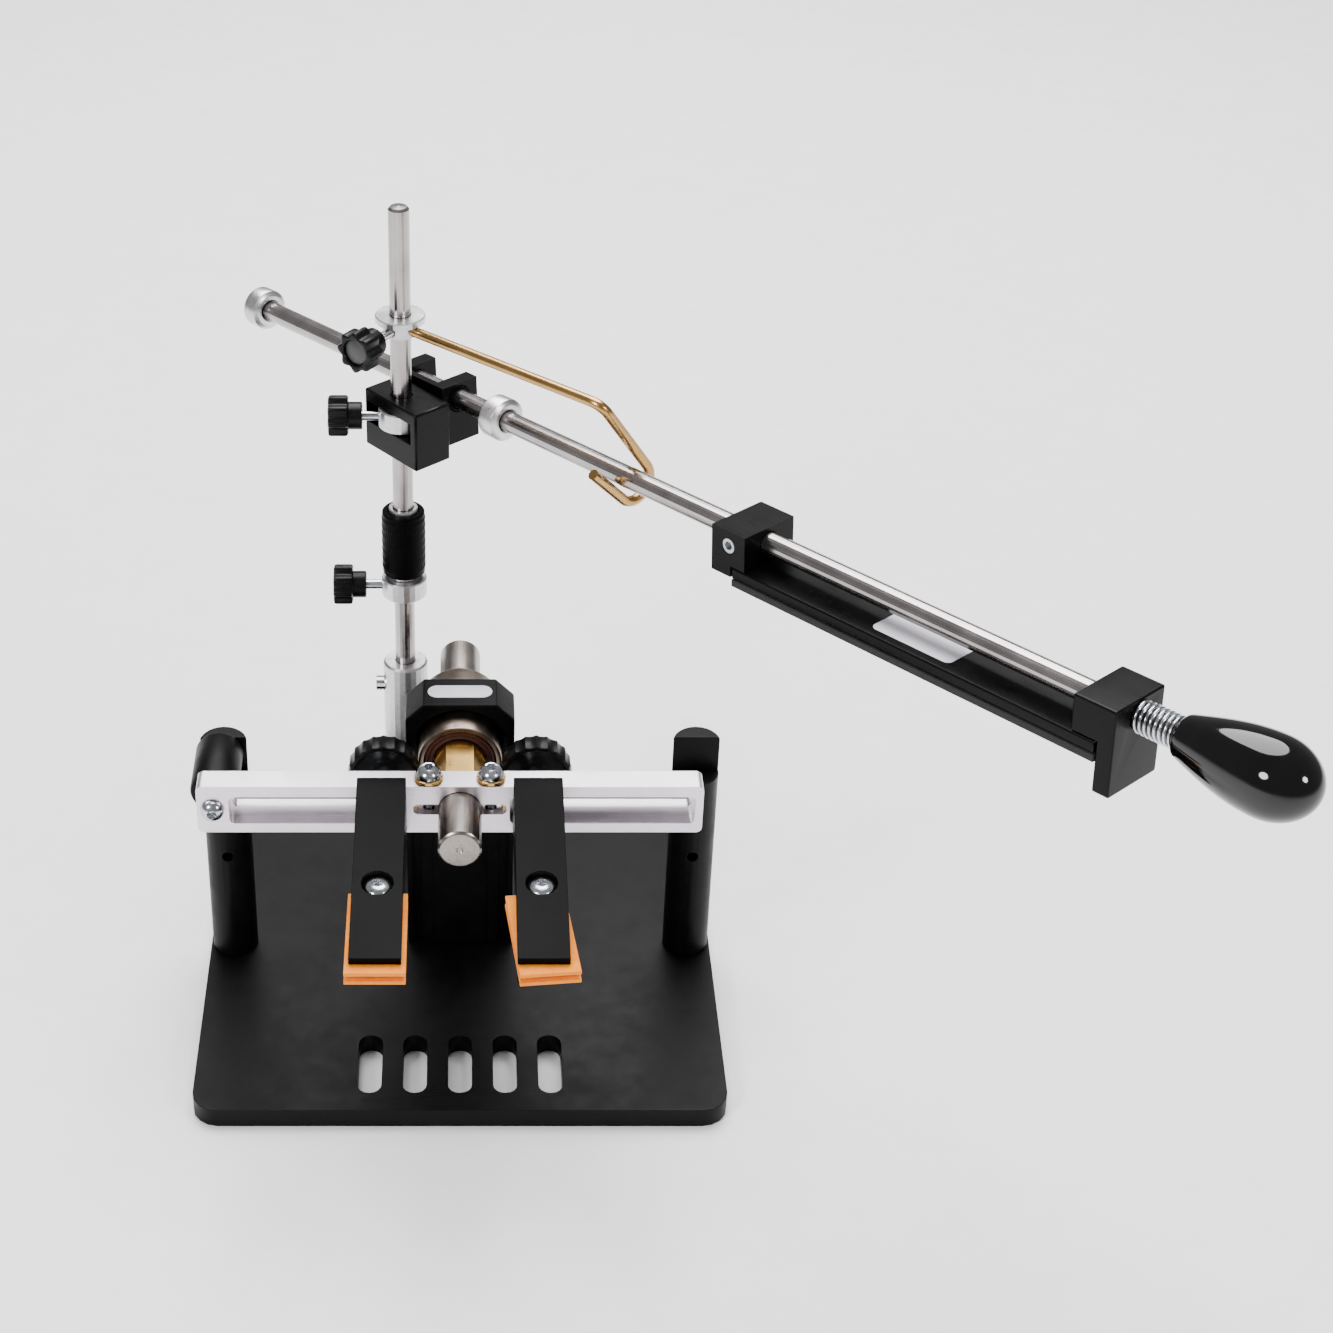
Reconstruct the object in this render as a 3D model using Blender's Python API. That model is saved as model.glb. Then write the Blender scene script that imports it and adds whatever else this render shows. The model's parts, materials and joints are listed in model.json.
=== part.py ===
"""Guided-angle sharpening jig: base, turning clamp frame with two jaws, column, pivot and stone arm.

Sizes are in millimetres and become metres where a mesh is finished. +X is right, +Y is back, +Z is up.
The base's underside is at Z = 0 and its centre is at the origin.
"""

import math

import bmesh
import bpy
from mathutils import Matrix, Vector

MM = 0.001
GAP = 0.3           # left between pieces that touch
ROUND_STEPS = 24    # sides of a round piece
SMALL_STEPS = 14    # sides of a screw, a stem or a small hole

# Base plate
BASE_SIZE = 200.0
BASE_THICKNESS = 8.0
BASE_CORNER_RADIUS = 10.0
WINDOW_COUNT = 5
WINDOW_WIDTH = 9.0
WINDOW_LENGTH = 31.6
WINDOW_PITCH = 17.0
WINDOW_FRONT_MARGIN = 9.6

# Turning axis of the clamp frame, and the stop posts at both ends of its half turn
AXIS_HEIGHT = 102.0
POST_X = 90.3
POST_Y = -3.0
POST_RADIUS = 9.0
POST_HEAD_ABOVE_AXIS = 6.0
POST_FLAT_Y = -2.0
POST_HOLE_HEIGHT = 58.0
POST_HOLE_RADIUS = 2.2
STOP_ROD_RADIUS = 9.0
STOP_ROD_X = -91.8

# Bearing, its housing and the upright that carries it
SPINDLE_RADIUS = 8.0
SPINDLE_FRONT = -64.4
SPINDLE_REAR = 64.0
SLEEVE_RADIUS = 9.7
SLEEVE_HEX_FLATS = 18.0
BEARING_RADIUS = 16.0
BEARING_WALL = 2.4
BEARING_FRONT = -10.0
BEARING_REAR = 31.0
SEAL_DEPTH = 3.0
HOUSING_FRONT = -3.0
HOUSING_REAR = 15.2
HOUSING_HALF_WIDTH = 20.8
HOUSING_HALF_HEIGHT = 21.5
HOUSING_CHAMFER = 7.0
HOUSING_RECESS_RADIUS = 19.0
HOUSING_RECESS_DEPTH = 6.0
RETAINER_RADIUS = 12.0
RETAINER_LENGTH = 4.5

# Base screws
BASE_SCREW_RADIUS = 3.0
BASE_SCREW_HEAD_RADIUS = 6.0
BASE_SCREW_HEAD_HEIGHT = 4.0
BASE_SCREW_REACH = 24.0
UPRIGHT_SCREW_X = 12.0

# Cross bar, measured from the turning axis
BAR_LEFT = -97.3
BAR_RIGHT = 89.9
BAR_FRONT = -40.0
BAR_REAR = -30.0
BAR_BOTTOM = -10.4
BAR_TOP = 10.5
BAR_CORNER = 2.2
GROOVE_DEPTH = 5.0
GROOVE_CORNER = 2.0
GROOVE_TOP = 5.7
GROOVE_BOTTOM = -6.3
LEFT_GROOVE = (-85.4, -21.5)
RIGHT_GROOVE = (18.5, 87.0)
SPLIT_HALF_LENGTH = 17.3
SPLIT_TOP = 2.5
SPLIT_BOTTOM = -2.1
CLAMP_SCREW_X = 11.5
CLAMP_SCREW_RADIUS = 2.0
CLAMP_HEAD_RADIUS = 4.8
BUSH_RADIUS = 5.4
BUSH_HEIGHT = 1.5

# Jaws, measured from the point of the turning axis above or below them
JAW_X = 28.7
JAW_WIDTH = 18.0
JAW_TIP = -131.0
JAW_TOP_FLAT = 6.0
JAW_TOP = 15.0
JAW_TIP_TOP = 5.5
JAW_TIP_UNDERSIDE = 2.8
JAW_THROAT = 4.0
JAW_HEEL_LENGTH = 10.0
JAW_SCREW_Y = -95.1
JAW_SCREW_RADIUS = 2.0
JAW_SCREW_HEAD_RADIUS = 5.2
JAW_SCREW_HEAD_HEIGHT = 3.1
LINER_WIDTH = 21.0
LINER_LENGTH = 43.0
LINER_THICKNESS = 1.5
LINER_OVERHANG = 4.3
BLADE_SPACE = 2.0
LEFT_LINER_SKEW = 0.0
RIGHT_LINER_SKEW = 6.0

# Knobs that lock the jaws, behind the bar
STUD_RADIUS = 2.0
STUD_IN_JAW = 6.0
KNOB_RADIUS = 13.9
KNOB_THICKNESS = 8.5
KNOB_BOSS_RADIUS = 5.5
KNOB_CUP_RADIUS = 11.4
KNOB_CUP_DEPTH = 3.5
KNOB_RIBS = 14

# Column
COLUMN_X = -22.4
COLUMN_Y = 72.8
COLUMN_RADIUS = 4.0
COLUMN_TOP = 292.7
SOCKET_RADIUS = 9.0
SOCKET_TOP = 94.4
SOCKET_SCREW_HEIGHT = 83.0
SOCKET_SCREW_RADIUS = 3.0

# Collars and nut on the column
LOWER_COLLAR_BOTTOM = 126.5
COLLAR_HEIGHT = 8.0
COLLAR_RADIUS = 9.0
STEM_RADIUS = 1.9
STEM_END = 15.2
THUMB_HUB_RADIUS = 5.35
THUMB_HUB_END = 20.6
THUMB_HEAD_RADIUS = 8.2
THUMB_HEAD_END = 28.2
THUMB_LOBES = 8
NUT_RADIUS = 8.75
NUT_HEIGHT = 27.7
NUT_TAPER = 2.2
SLEEVE_RING_RADIUS = 5.7

# Pivot block on the column; its long side points along the arm
BLOCK_AZIMUTH = -50.0
BLOCK_BEHIND = -13.5
BLOCK_AHEAD = 17.7
BLOCK_NEAR = -7.5
BLOCK_FAR = 9.7
BLOCK_BOTTOM = 191.5
BLOCK_TOP = 215.8
POCKET_BEHIND = -12.0
POCKET_AHEAD = 14.5
BLOCK_COLLAR_BOTTOM = 202.5

# Hook collar
HOOK_COLLAR_BOTTOM = 241.6
HOOK_HUB_RADIUS = 6.5
HOOK_HUB_HEIGHT = 5.2
HOOK_FLANGE_RADIUS = 9.5
HOOK_FLANGE_HEIGHT = 2.5
HOOK_SCREW_AZIMUTH = -126.0
HOOK_SCREW_HEIGHT = 244.2
HOOK_RADIUS = 2.0
HOOK_BEND_RADIUS = 6.0
HOOK_REACH = 104.0
HOOK_BEND = (-9.1, 29.9)
HOOK_EYE_CENTRE = (6.0, -5.0)
HOOK_EYE_RADIUS = 7.6
HOOK_EYE_STEPS = 12
HOOK_TIP = (-13.8, 4.6)

# Arm: its guide rod passes the column at this side offset and height, rising to the front
ARM_OFFSET = 18.0
ARM_HEIGHT = 212.2
ARM_RISE = 3.6
ROD_RADIUS = 4.0
ROD_START = -116.4
ROD_END = 364.0
ROD_COLLAR_RADIUS = 8.25
ROD_COLLAR_LENGTH = 8.0
END_COLLAR_START = -117.5
STOP_COLLAR_START = 33.8
YOKE_START = -18.0
YOKE_END = 13.0
YOKE_EAR = 6.2
YOKE_PLATE = 2.8
YOKE_FAR = 9.0
YOKE_BOTTOM = -18.0
YOKE_TOP = 6.5
YOKE_BUSH_RADIUS = 5.2
PIVOT_DROP = -14.5
PIVOT_SCREW_RADIUS = 2.0

# Stone holder on the arm
HOLDER_NEAR = -11.75
HOLDER_FAR = 12.0
HOLDER_TOP = 5.7
FRONT_BLOCK_START = 161.5
FRONT_BLOCK_END = 177.0
BLOCK_LIP = 4.2
HOLDER_SCREW_RADIUS = 2.7
BLANK_START = 170.8
BLANK_LENGTH = 152.4
BLANK_TOP = -7.6
BLANK_THICKNESS = 4.2
ABRASIVE_THICKNESS = 2.8
REAR_BLOCK_START = 313.8
REAR_BLOCK_LENGTH = 15.9
REAR_LEG_BOTTOM = -25.0
SPRING_RADIUS = ROD_RADIUS + 0.9
SPRING_WIRE_RADIUS = 0.5
SPRING_TURNS = 8
SPRING_STEPS = 12
HANDLE_START = 345.4
HANDLE_LENGTH = 45.8
HANDLE_RADIUS = 13.0
HANDLE_NECK_RADIUS = 7.2
HANDLE_SWELL = 30.0


def clear_scene():
    for item in list(bpy.data.objects):
        bpy.data.objects.remove(item, do_unlink=True)


def finish(name, colour, metallic, roughness):
    surface = bpy.data.materials.new(name)
    surface.use_nodes = True
    shader = surface.node_tree.nodes["Principled BSDF"]
    shader.inputs["Base Color"].default_value = (*colour, 1.0)
    shader.inputs["Metallic"].default_value = metallic
    shader.inputs["Roughness"].default_value = roughness
    return surface


# Shapes. Each returns a bmesh in millimetres.

AXIS_TURNS = {
    "X": Matrix(((0, 0, 1, 0), (1, 0, 0, 0), (0, 1, 0, 0), (0, 0, 0, 1))),
    "Y": Matrix(((0, 1, 0, 0), (0, 0, 1, 0), (1, 0, 0, 0), (0, 0, 0, 1))),
    "Z": Matrix.Identity(4),
}


def moved(shape, x=0.0, y=0.0, z=0.0):
    bmesh.ops.translate(shape, verts=shape.verts, vec=(x, y, z))
    return shape


def turned(profile, axis="Z", steps=ROUND_STEPS):
    """Spin (radius, place along the axis) points; a profile that leaves the axis free makes a ring."""
    shape = bmesh.new()
    points = [shape.verts.new((radius, 0.0, place)) for radius, place in profile]
    edges = [shape.edges.new(pair) for pair in zip(points, points[1:])]
    if profile[0][0] > 0.0:
        edges.append(shape.edges.new((points[-1], points[0])))
    bmesh.ops.spin(shape, geom=points + edges, cent=(0, 0, 0), axis=(0, 0, 1), angle=2 * math.pi,
                   steps=steps, use_merge=True)
    bmesh.ops.remove_doubles(shape, verts=shape.verts, dist=1e-4)
    bmesh.ops.recalc_face_normals(shape, faces=shape.faces)
    bmesh.ops.transform(shape, verts=shape.verts, matrix=AXIS_TURNS[axis])
    return shape


def rod(radius, low, high, axis="Z", steps=SMALL_STEPS):
    return turned([(0.0, low), (radius, low), (radius, high), (0.0, high)], axis, steps)


def ring(inner, outer, low, high, edge, axis="Z", steps=ROUND_STEPS):
    """A ring whose outer edges are broken by a small chamfer."""
    profile = [(inner, low), (outer - edge, low), (outer, low + edge), (outer, high - edge),
               (outer - edge, high), (inner, high)]
    return turned(profile, axis, steps)


def prism(outline, low, high, axis="Z"):
    """Extrude an outline: (x, y) along Z, (y, z) along X, or (z, x) along Y."""
    shape = bmesh.new()
    face = shape.faces.new([shape.verts.new((a, b, low)) for a, b in outline])
    grown = bmesh.ops.extrude_face_region(shape, geom=[face])["geom"]
    top = [item for item in grown if isinstance(item, bmesh.types.BMVert)]
    bmesh.ops.translate(shape, verts=top, vec=(0, 0, high - low))
    bmesh.ops.recalc_face_normals(shape, faces=shape.faces)
    bmesh.ops.transform(shape, verts=shape.verts, matrix=AXIS_TURNS[axis])
    return shape


def slab(low, high, edge=0.0):
    """A box between two corners, with its edges broken by a chamfer."""
    shape = bmesh.new()
    bmesh.ops.create_cube(shape, size=1.0)
    size = Vector(high) - Vector(low)
    bmesh.ops.scale(shape, verts=shape.verts, vec=size)
    bmesh.ops.translate(shape, verts=shape.verts, vec=(Vector(high) + Vector(low)) / 2)
    if edge > 0.0:
        bmesh.ops.bevel(shape, geom=shape.edges[:], offset=edge, affect="EDGES", segments=1,
                        profile=0.5, material=-1)
    return shape


def rounded_outline(left, right, low, high, radius, steps=4):
    """A rectangle's outline with round corners."""
    corners = [(right - radius, low + radius, -90), (right - radius, high - radius, 0),
               (left + radius, high - radius, 90), (left + radius, low + radius, 180)]
    points = []
    for x, y, start in corners:
        for step in range(steps + 1):
            angle = math.radians(start + 90 * step / steps)
            points.append((x + radius * math.cos(angle), y + radius * math.sin(angle)))
    return points


def polygon(flats, sides=6):
    """A regular polygon by its width across flats, with a flat on top when it stands along Y."""
    corner = flats / 2 / math.cos(math.pi / sides)
    angles = [math.pi * (2 * side + 1) / sides for side in range(sides)]
    return [(corner * math.cos(angle), corner * math.sin(angle)) for angle in angles]


def fluted(shape, from_radius, count, depth, axis="Z"):
    """Press grooves into the part of a turned shape outside a radius."""
    back = AXIS_TURNS[axis].inverted()
    for vert in shape.verts:
        local = back @ vert.co
        radius = math.hypot(local.x, local.y)
        if radius > from_radius:
            angle = math.atan2(local.y, local.x)
            scale = 1 - depth * (0.5 - 0.5 * math.cos(count * angle)) / radius
            vert.co = AXIS_TURNS[axis] @ Vector((local.x * scale, local.y * scale, local.z))
    return shape


def tube(points, radius, sides, frames):
    """Carry a round section along points; frames give each point its section's two directions."""
    shape = bmesh.new()
    rings = []
    for point, (across, up) in zip(points, frames):
        turns = [2 * math.pi * side / sides for side in range(sides)]
        rings.append([shape.verts.new(point + radius * (across * math.cos(t) + up * math.sin(t)))
                      for t in turns])
    for first, second in zip(rings, rings[1:]):
        for side in range(sides):
            after = (side + 1) % sides
            shape.faces.new((first[side], first[after], second[after], second[side]))
    shape.faces.new(rings[0])
    shape.faces.new(rings[-1])
    bmesh.ops.recalc_face_normals(shape, faces=shape.faces)
    return shape


def section_frames(points):
    """Two directions across the path at each point, carried along without twist."""
    frames = []
    across = None
    for index, point in enumerate(points):
        ahead = points[min(index + 1, len(points) - 1)] - points[max(index - 1, 0)]
        ahead.normalize()
        if across is None:
            across = ahead.orthogonal().normalized()
        across = (across - ahead * across.dot(ahead)).normalized()
        frames.append((across, ahead.cross(across)))
    return frames


def rounded_path(corners, radius, steps=4):
    """Replace each inner corner of a path by an arc that touches both of its legs."""
    points = [corners[0]]
    for before, corner, after in zip(corners, corners[1:], corners[2:]):
        back = (before - corner).normalized()
        ahead = (after - corner).normalized()
        half = back.angle(ahead) / 2
        reach = min(radius / math.tan(half), 0.45 * (before - corner).length, 0.45 * (after - corner).length)
        for step in range(steps + 1):
            share = step / steps
            start = corner + back * reach
            end = corner + ahead * reach
            points.append((1 - share) ** 2 * start + 2 * share * (1 - share) * corner + share ** 2 * end)
    points.append(corners[-1])
    return points


# Objects

def place(name, x=0.0, y=0.0, z=0.0, parent=None, turn=None):
    """An empty that holds pieces; a moving group's empty lies on its joint's axis."""
    holder = bpy.data.objects.new(name, None)
    bpy.context.scene.collection.objects.link(holder)
    matrix = turn.to_4x4() if turn else Matrix.Identity(4)
    matrix.translation = Vector((x, y, z)) * MM
    holder.parent = parent
    holder.matrix_local = matrix
    return holder


def add_object(name, shape, parent):
    bmesh.ops.scale(shape, verts=shape.verts, vec=(MM, MM, MM))
    mesh = bpy.data.meshes.new(name)
    shape.to_mesh(mesh)
    shape.free()
    item = bpy.data.objects.new(name, mesh)
    bpy.context.scene.collection.objects.link(item)
    item.parent = parent
    return item


def piece(name, shape, surface, parent=None, cuts=(), joins=()):
    """One solid of the object, with its cutters and its joined shapes as hidden helpers."""
    item = add_object(name, shape, parent)
    item.data.shade_smooth()
    item.data.set_sharp_from_angle(angle=math.radians(35))
    item.data.materials.append(surface)
    for kind, helpers in (("UNION", joins), ("DIFFERENCE", cuts)):
        for index, helper_shape in enumerate(helpers):
            helper = add_object(f"{name}_{kind.lower()}_{index}", helper_shape, parent)
            helper.hide_render = True
            helper.display_type = "WIRE"
            step = item.modifiers.new(f"{kind.lower()}_{index}", "BOOLEAN")
            step.operation = kind
            step.object = helper
    return item


clear_scene()

black_coat = finish("black_powder_coat", (0.012, 0.012, 0.013), 0.0, 0.5)
black_anodised = finish("black_anodised_aluminium", (0.015, 0.015, 0.017), 0.3, 0.4)
black_plastic = finish("black_moulded_plastic", (0.012, 0.012, 0.013), 0.0, 0.35)
gloss_black = finish("black_gloss_plastic", (0.004, 0.004, 0.005), 0.0, 0.08)
steel = finish("polished_steel", (0.55, 0.53, 0.52), 1.0, 0.25)
bearing_steel = finish("bearing_steel", (0.35, 0.31, 0.28), 1.0, 0.35)
zinc = finish("zinc_plated_steel", (0.65, 0.67, 0.7), 1.0, 0.2)
aluminium = finish("satin_aluminium", (0.72, 0.72, 0.75), 1.0, 0.38)
brass = finish("brass", (0.7, 0.47, 0.2), 1.0, 0.3)
seal_rubber = finish("dark_red_seal", (0.14, 0.015, 0.012), 0.0, 0.5)
liner_leather = finish("orange_liner", (0.85, 0.4, 0.06), 0.0, 0.7)
abrasive_black = finish("abrasive", (0.03, 0.03, 0.032), 0.0, 0.9)


# Base and stop posts

BASE_TOP = BASE_THICKNESS + GAP
HALF_BASE = BASE_SIZE / 2
UPRIGHT_Y = (HOUSING_FRONT + HOUSING_REAR) / 2
BASE_SCREW_PLACES = {
    "left_post_screw": (-POST_X, POST_Y),
    "right_post_screw": (POST_X, POST_Y),
    "left_upright_screw": (-UPRIGHT_SCREW_X, UPRIGHT_Y),
    "right_upright_screw": (UPRIGHT_SCREW_X, UPRIGHT_Y),
}
head_seat = BASE_SCREW_HEAD_HEIGHT + 2 * GAP


def base_screw_hole(x, y):
    hole = turned([(0, -1), (BASE_SCREW_HEAD_RADIUS + GAP, -1), (BASE_SCREW_HEAD_RADIUS + GAP, head_seat),
                   (BASE_SCREW_RADIUS + GAP, head_seat), (BASE_SCREW_RADIUS + GAP, BASE_THICKNESS + 1),
                   (0, BASE_THICKNESS + 1)], steps=SMALL_STEPS)
    return moved(hole, x, y)


def blind_hole(x, y):
    """The tapped hole that a base screw reaches into."""
    return moved(rod(BASE_SCREW_RADIUS + GAP, BASE_TOP - 1, BASE_SCREW_REACH + 2), x, y)


window_rear = -HALF_BASE + WINDOW_FRONT_MARGIN + WINDOW_LENGTH
base_cuts = []
for index in range(WINDOW_COUNT):
    middle = (index - (WINDOW_COUNT - 1) / 2) * WINDOW_PITCH
    outline = rounded_outline(middle - WINDOW_WIDTH / 2, middle + WINDOW_WIDTH / 2,
                              window_rear - WINDOW_LENGTH, window_rear, WINDOW_WIDTH / 2 - 0.05)
    base_cuts.append(prism(outline, -1, BASE_THICKNESS + 1))
base_cuts += [base_screw_hole(x, y) for x, y in BASE_SCREW_PLACES.values()]
base_outline = rounded_outline(-HALF_BASE, HALF_BASE, -HALF_BASE, HALF_BASE, BASE_CORNER_RADIUS)
piece("base_plate", prism(base_outline, 0, BASE_THICKNESS), black_coat, cuts=base_cuts)

for name, (x, y) in BASE_SCREW_PLACES.items():
    screw = turned([(0, GAP), (BASE_SCREW_HEAD_RADIUS, GAP), (BASE_SCREW_HEAD_RADIUS, head_seat - GAP),
                    (BASE_SCREW_RADIUS, head_seat - GAP), (BASE_SCREW_RADIUS, BASE_SCREW_REACH),
                    (0, BASE_SCREW_REACH)], steps=SMALL_STEPS)
    piece(name, moved(screw, x, y), zinc)

ledge = AXIS_HEIGHT - STOP_ROD_RADIUS - GAP
post_top = AXIS_HEIGHT + POST_HEAD_ABOVE_AXIS
for name, x in (("left_post", -POST_X), ("right_post", POST_X)):
    post = turned([(0, BASE_TOP), (POST_RADIUS, BASE_TOP), (POST_RADIUS, post_top - 0.8),
                   (POST_RADIUS - 0.8, post_top), (0, post_top)])
    flat = slab((x - POST_RADIUS - 1, POST_Y - POST_RADIUS - 1, ledge),
                (x + POST_RADIUS + 1, POST_FLAT_Y, post_top + 1))
    side_hole = moved(rod(POST_HOLE_RADIUS, POST_Y - POST_RADIUS - 1, POST_Y - 3, "Y"), x, 0, POST_HOLE_HEIGHT)
    piece(name, moved(post, x, POST_Y), black_coat, cuts=(flat, side_hole, blind_hole(x, POST_Y)))


# Upright, housing and bearing

housing_bottom = AXIS_HEIGHT - HOUSING_HALF_HEIGHT
half = HOUSING_HALF_WIDTH
front = HOUSING_FRONT
upright_outline = [(half, HOUSING_REAR), (-half, HOUSING_REAR), (-half, front), (-half + 2, front),
                   (-half + 2, front + 2), (-half + 6, front + 2), (-half + 6, front), (-10, front),
                   (-10, front - 1), (10, front - 1), (10, front), (half - 6, front),
                   (half - 6, front + 2), (half - 2, front + 2), (half - 2, front), (half, front)]
piece("upright", prism(upright_outline, BASE_TOP, housing_bottom - GAP), black_coat,
      cuts=[blind_hole(side * UPRIGHT_SCREW_X, UPRIGHT_Y) for side in (-1, 1)])

bearing_axis = place("bearing_axis", z=AXIS_HEIGHT)
cut = HOUSING_CHAMFER
tall = HOUSING_HALF_HEIGHT
octagon = [(-tall, half - cut), (-tall + cut, half), (tall - cut, half), (tall, half - cut),
           (tall, -half + cut), (tall - cut, -half), (-tall + cut, -half), (-tall, -half + cut)]
piece("bearing_housing", prism(octagon, HOUSING_FRONT, HOUSING_REAR, "Y"), black_coat, bearing_axis,
      cuts=[rod(BEARING_RADIUS + GAP, HOUSING_FRONT - 1, HOUSING_REAR + 1, "Y", ROUND_STEPS),
            rod(HOUSING_RECESS_RADIUS, HOUSING_FRONT - 1, HOUSING_FRONT + HOUSING_RECESS_DEPTH, "Y", ROUND_STEPS)])
shell_inner = BEARING_RADIUS - BEARING_WALL
piece("bearing_shell", ring(shell_inner, BEARING_RADIUS, BEARING_FRONT, BEARING_REAR, 0.6, "Y"),
      bearing_steel, bearing_axis)
running_radius = SLEEVE_RADIUS + GAP
piece("bearing_liner", ring(running_radius, shell_inner - GAP, BEARING_FRONT + SEAL_DEPTH + GAP,
                            BEARING_REAR - GAP, 0.2, "Y"), steel, bearing_axis)
piece("front_seal", ring(running_radius + 0.1, shell_inner - GAP, BEARING_FRONT + 0.2,
                         BEARING_FRONT + SEAL_DEPTH, 0.2, "Y"), seal_rubber, bearing_axis)


# Clamp frame, which turns half a turn about the bearing's axis

flip_axis = place("flip_axis", z=AXIS_HEIGHT)
shaft_hole = SPINDLE_RADIUS + GAP
sleeve_front = BAR_REAR + GAP
hex_end = BEARING_FRONT - 1.5
piece("spindle", turned([(0, SPINDLE_FRONT), (SPINDLE_RADIUS - 0.8, SPINDLE_FRONT),
                         (SPINDLE_RADIUS, SPINDLE_FRONT + 0.8), (SPINDLE_RADIUS, SPINDLE_REAR - 0.8),
                         (SPINDLE_RADIUS - 0.8, SPINDLE_REAR), (0, SPINDLE_REAR)], "Y"), steel, flip_axis)
piece("brass_sleeve", rod(SLEEVE_RADIUS, hex_end - 0.5, BEARING_REAR + 2, "Y", ROUND_STEPS), brass, flip_axis,
      joins=[prism(polygon(SLEEVE_HEX_FLATS), sleeve_front, hex_end, "Y")],
      cuts=[rod(shaft_hole, sleeve_front - 1, BEARING_REAR + 3, "Y", ROUND_STEPS)])
retainer_front = BEARING_REAR + 2 + GAP
piece("rear_retainer", ring(shaft_hole, RETAINER_RADIUS, retainer_front, retainer_front + RETAINER_LENGTH,
                            0.6, "Y"), steel, flip_axis)

bar_middle = (BAR_FRONT + BAR_REAR) / 2
slot_half = STUD_RADIUS + GAP
stop_screw_x = STOP_ROD_X + GAP
bar_cuts = [rod(shaft_hole, BAR_FRONT - 1, BAR_REAR + 1, "Y", ROUND_STEPS),
            prism(rounded_outline(SPLIT_BOTTOM, SPLIT_TOP, -SPLIT_HALF_LENGTH, SPLIT_HALF_LENGTH, GROOVE_CORNER),
                  BAR_FRONT - 1, BAR_REAR + 1, "Y"),
            moved(rod(STUD_RADIUS + 2 * GAP, BAR_FRONT - 1, BAR_REAR + 1, "Y"), stop_screw_x)]
for left, right in (LEFT_GROOVE, RIGHT_GROOVE):
    bar_cuts.append(prism(rounded_outline(GROOVE_BOTTOM, GROOVE_TOP, left, right, GROOVE_CORNER),
                          BAR_FRONT - 1, BAR_FRONT + GROOVE_DEPTH, "Y"))
    bar_cuts.append(prism(rounded_outline(-slot_half, slot_half, left + 1, right - 1, GROOVE_CORNER),
                          BAR_FRONT - 1, BAR_REAR + 1, "Y"))
for side in (-1, 1):
    bar_cuts.append(moved(rod(CLAMP_SCREW_RADIUS + GAP, BAR_BOTTOM + 2, BAR_TOP + 1),
                          side * CLAMP_SCREW_X, bar_middle))
bar_outline = rounded_outline(BAR_BOTTOM, BAR_TOP, BAR_LEFT, BAR_RIGHT, BAR_CORNER)
piece("cross_bar", prism(bar_outline, BAR_FRONT, BAR_REAR, "Y"), aluminium, flip_axis, cuts=bar_cuts)

bush_top = BAR_TOP + GAP + BUSH_HEIGHT
for side, word in ((-1, "left"), (1, "right")):
    bush = ring(CLAMP_SCREW_RADIUS + GAP, BUSH_RADIUS, BAR_TOP + GAP, bush_top, 0.3, steps=SMALL_STEPS)
    piece(f"{word}_brass_bush", moved(bush, side * CLAMP_SCREW_X, bar_middle), brass, flip_axis)
    under_head = bush_top + GAP
    screw = turned([(0, BAR_BOTTOM + 3), (CLAMP_SCREW_RADIUS, BAR_BOTTOM + 3), (CLAMP_SCREW_RADIUS, under_head),
                    (CLAMP_HEAD_RADIUS, under_head), (CLAMP_HEAD_RADIUS, under_head + 0.9),
                    (CLAMP_HEAD_RADIUS * 0.78, under_head + 2.9), (CLAMP_HEAD_RADIUS * 0.4, under_head + 3.9),
                    (0, under_head + 4.2)], steps=SMALL_STEPS)
    piece(f"{word}_clamp_screw", moved(screw, side * CLAMP_SCREW_X, bar_middle), zinc, flip_axis)

stop_rod_end = POST_FLAT_Y - GAP
piece("stop_rod", moved(turned([(0, BAR_REAR + GAP), (STOP_ROD_RADIUS - 1.5, BAR_REAR + GAP),
                                (STOP_ROD_RADIUS, BAR_REAR + GAP + 1.5), (STOP_ROD_RADIUS, stop_rod_end - 1),
                                (STOP_ROD_RADIUS - 1, stop_rod_end), (0, stop_rod_end)], "Y"), STOP_ROD_X),
      black_coat, flip_axis,
      cuts=[moved(rod(STUD_RADIUS + 2 * GAP, BAR_REAR - 1, BAR_REAR + 10, "Y"), stop_screw_x)])
piece("stop_rod_screw", moved(turned([(0, BAR_FRONT - 3.6), (2.4, BAR_FRONT - 3.3), (4.0, BAR_FRONT - 1.8),
                                      (4.4, BAR_FRONT - GAP), (STUD_RADIUS, BAR_FRONT - GAP),
                                      (STUD_RADIUS, BAR_REAR + 8), (0, BAR_REAR + 8)], "Y", SMALL_STEPS),
                              stop_screw_x), zinc, flip_axis)


# Jaws

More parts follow.
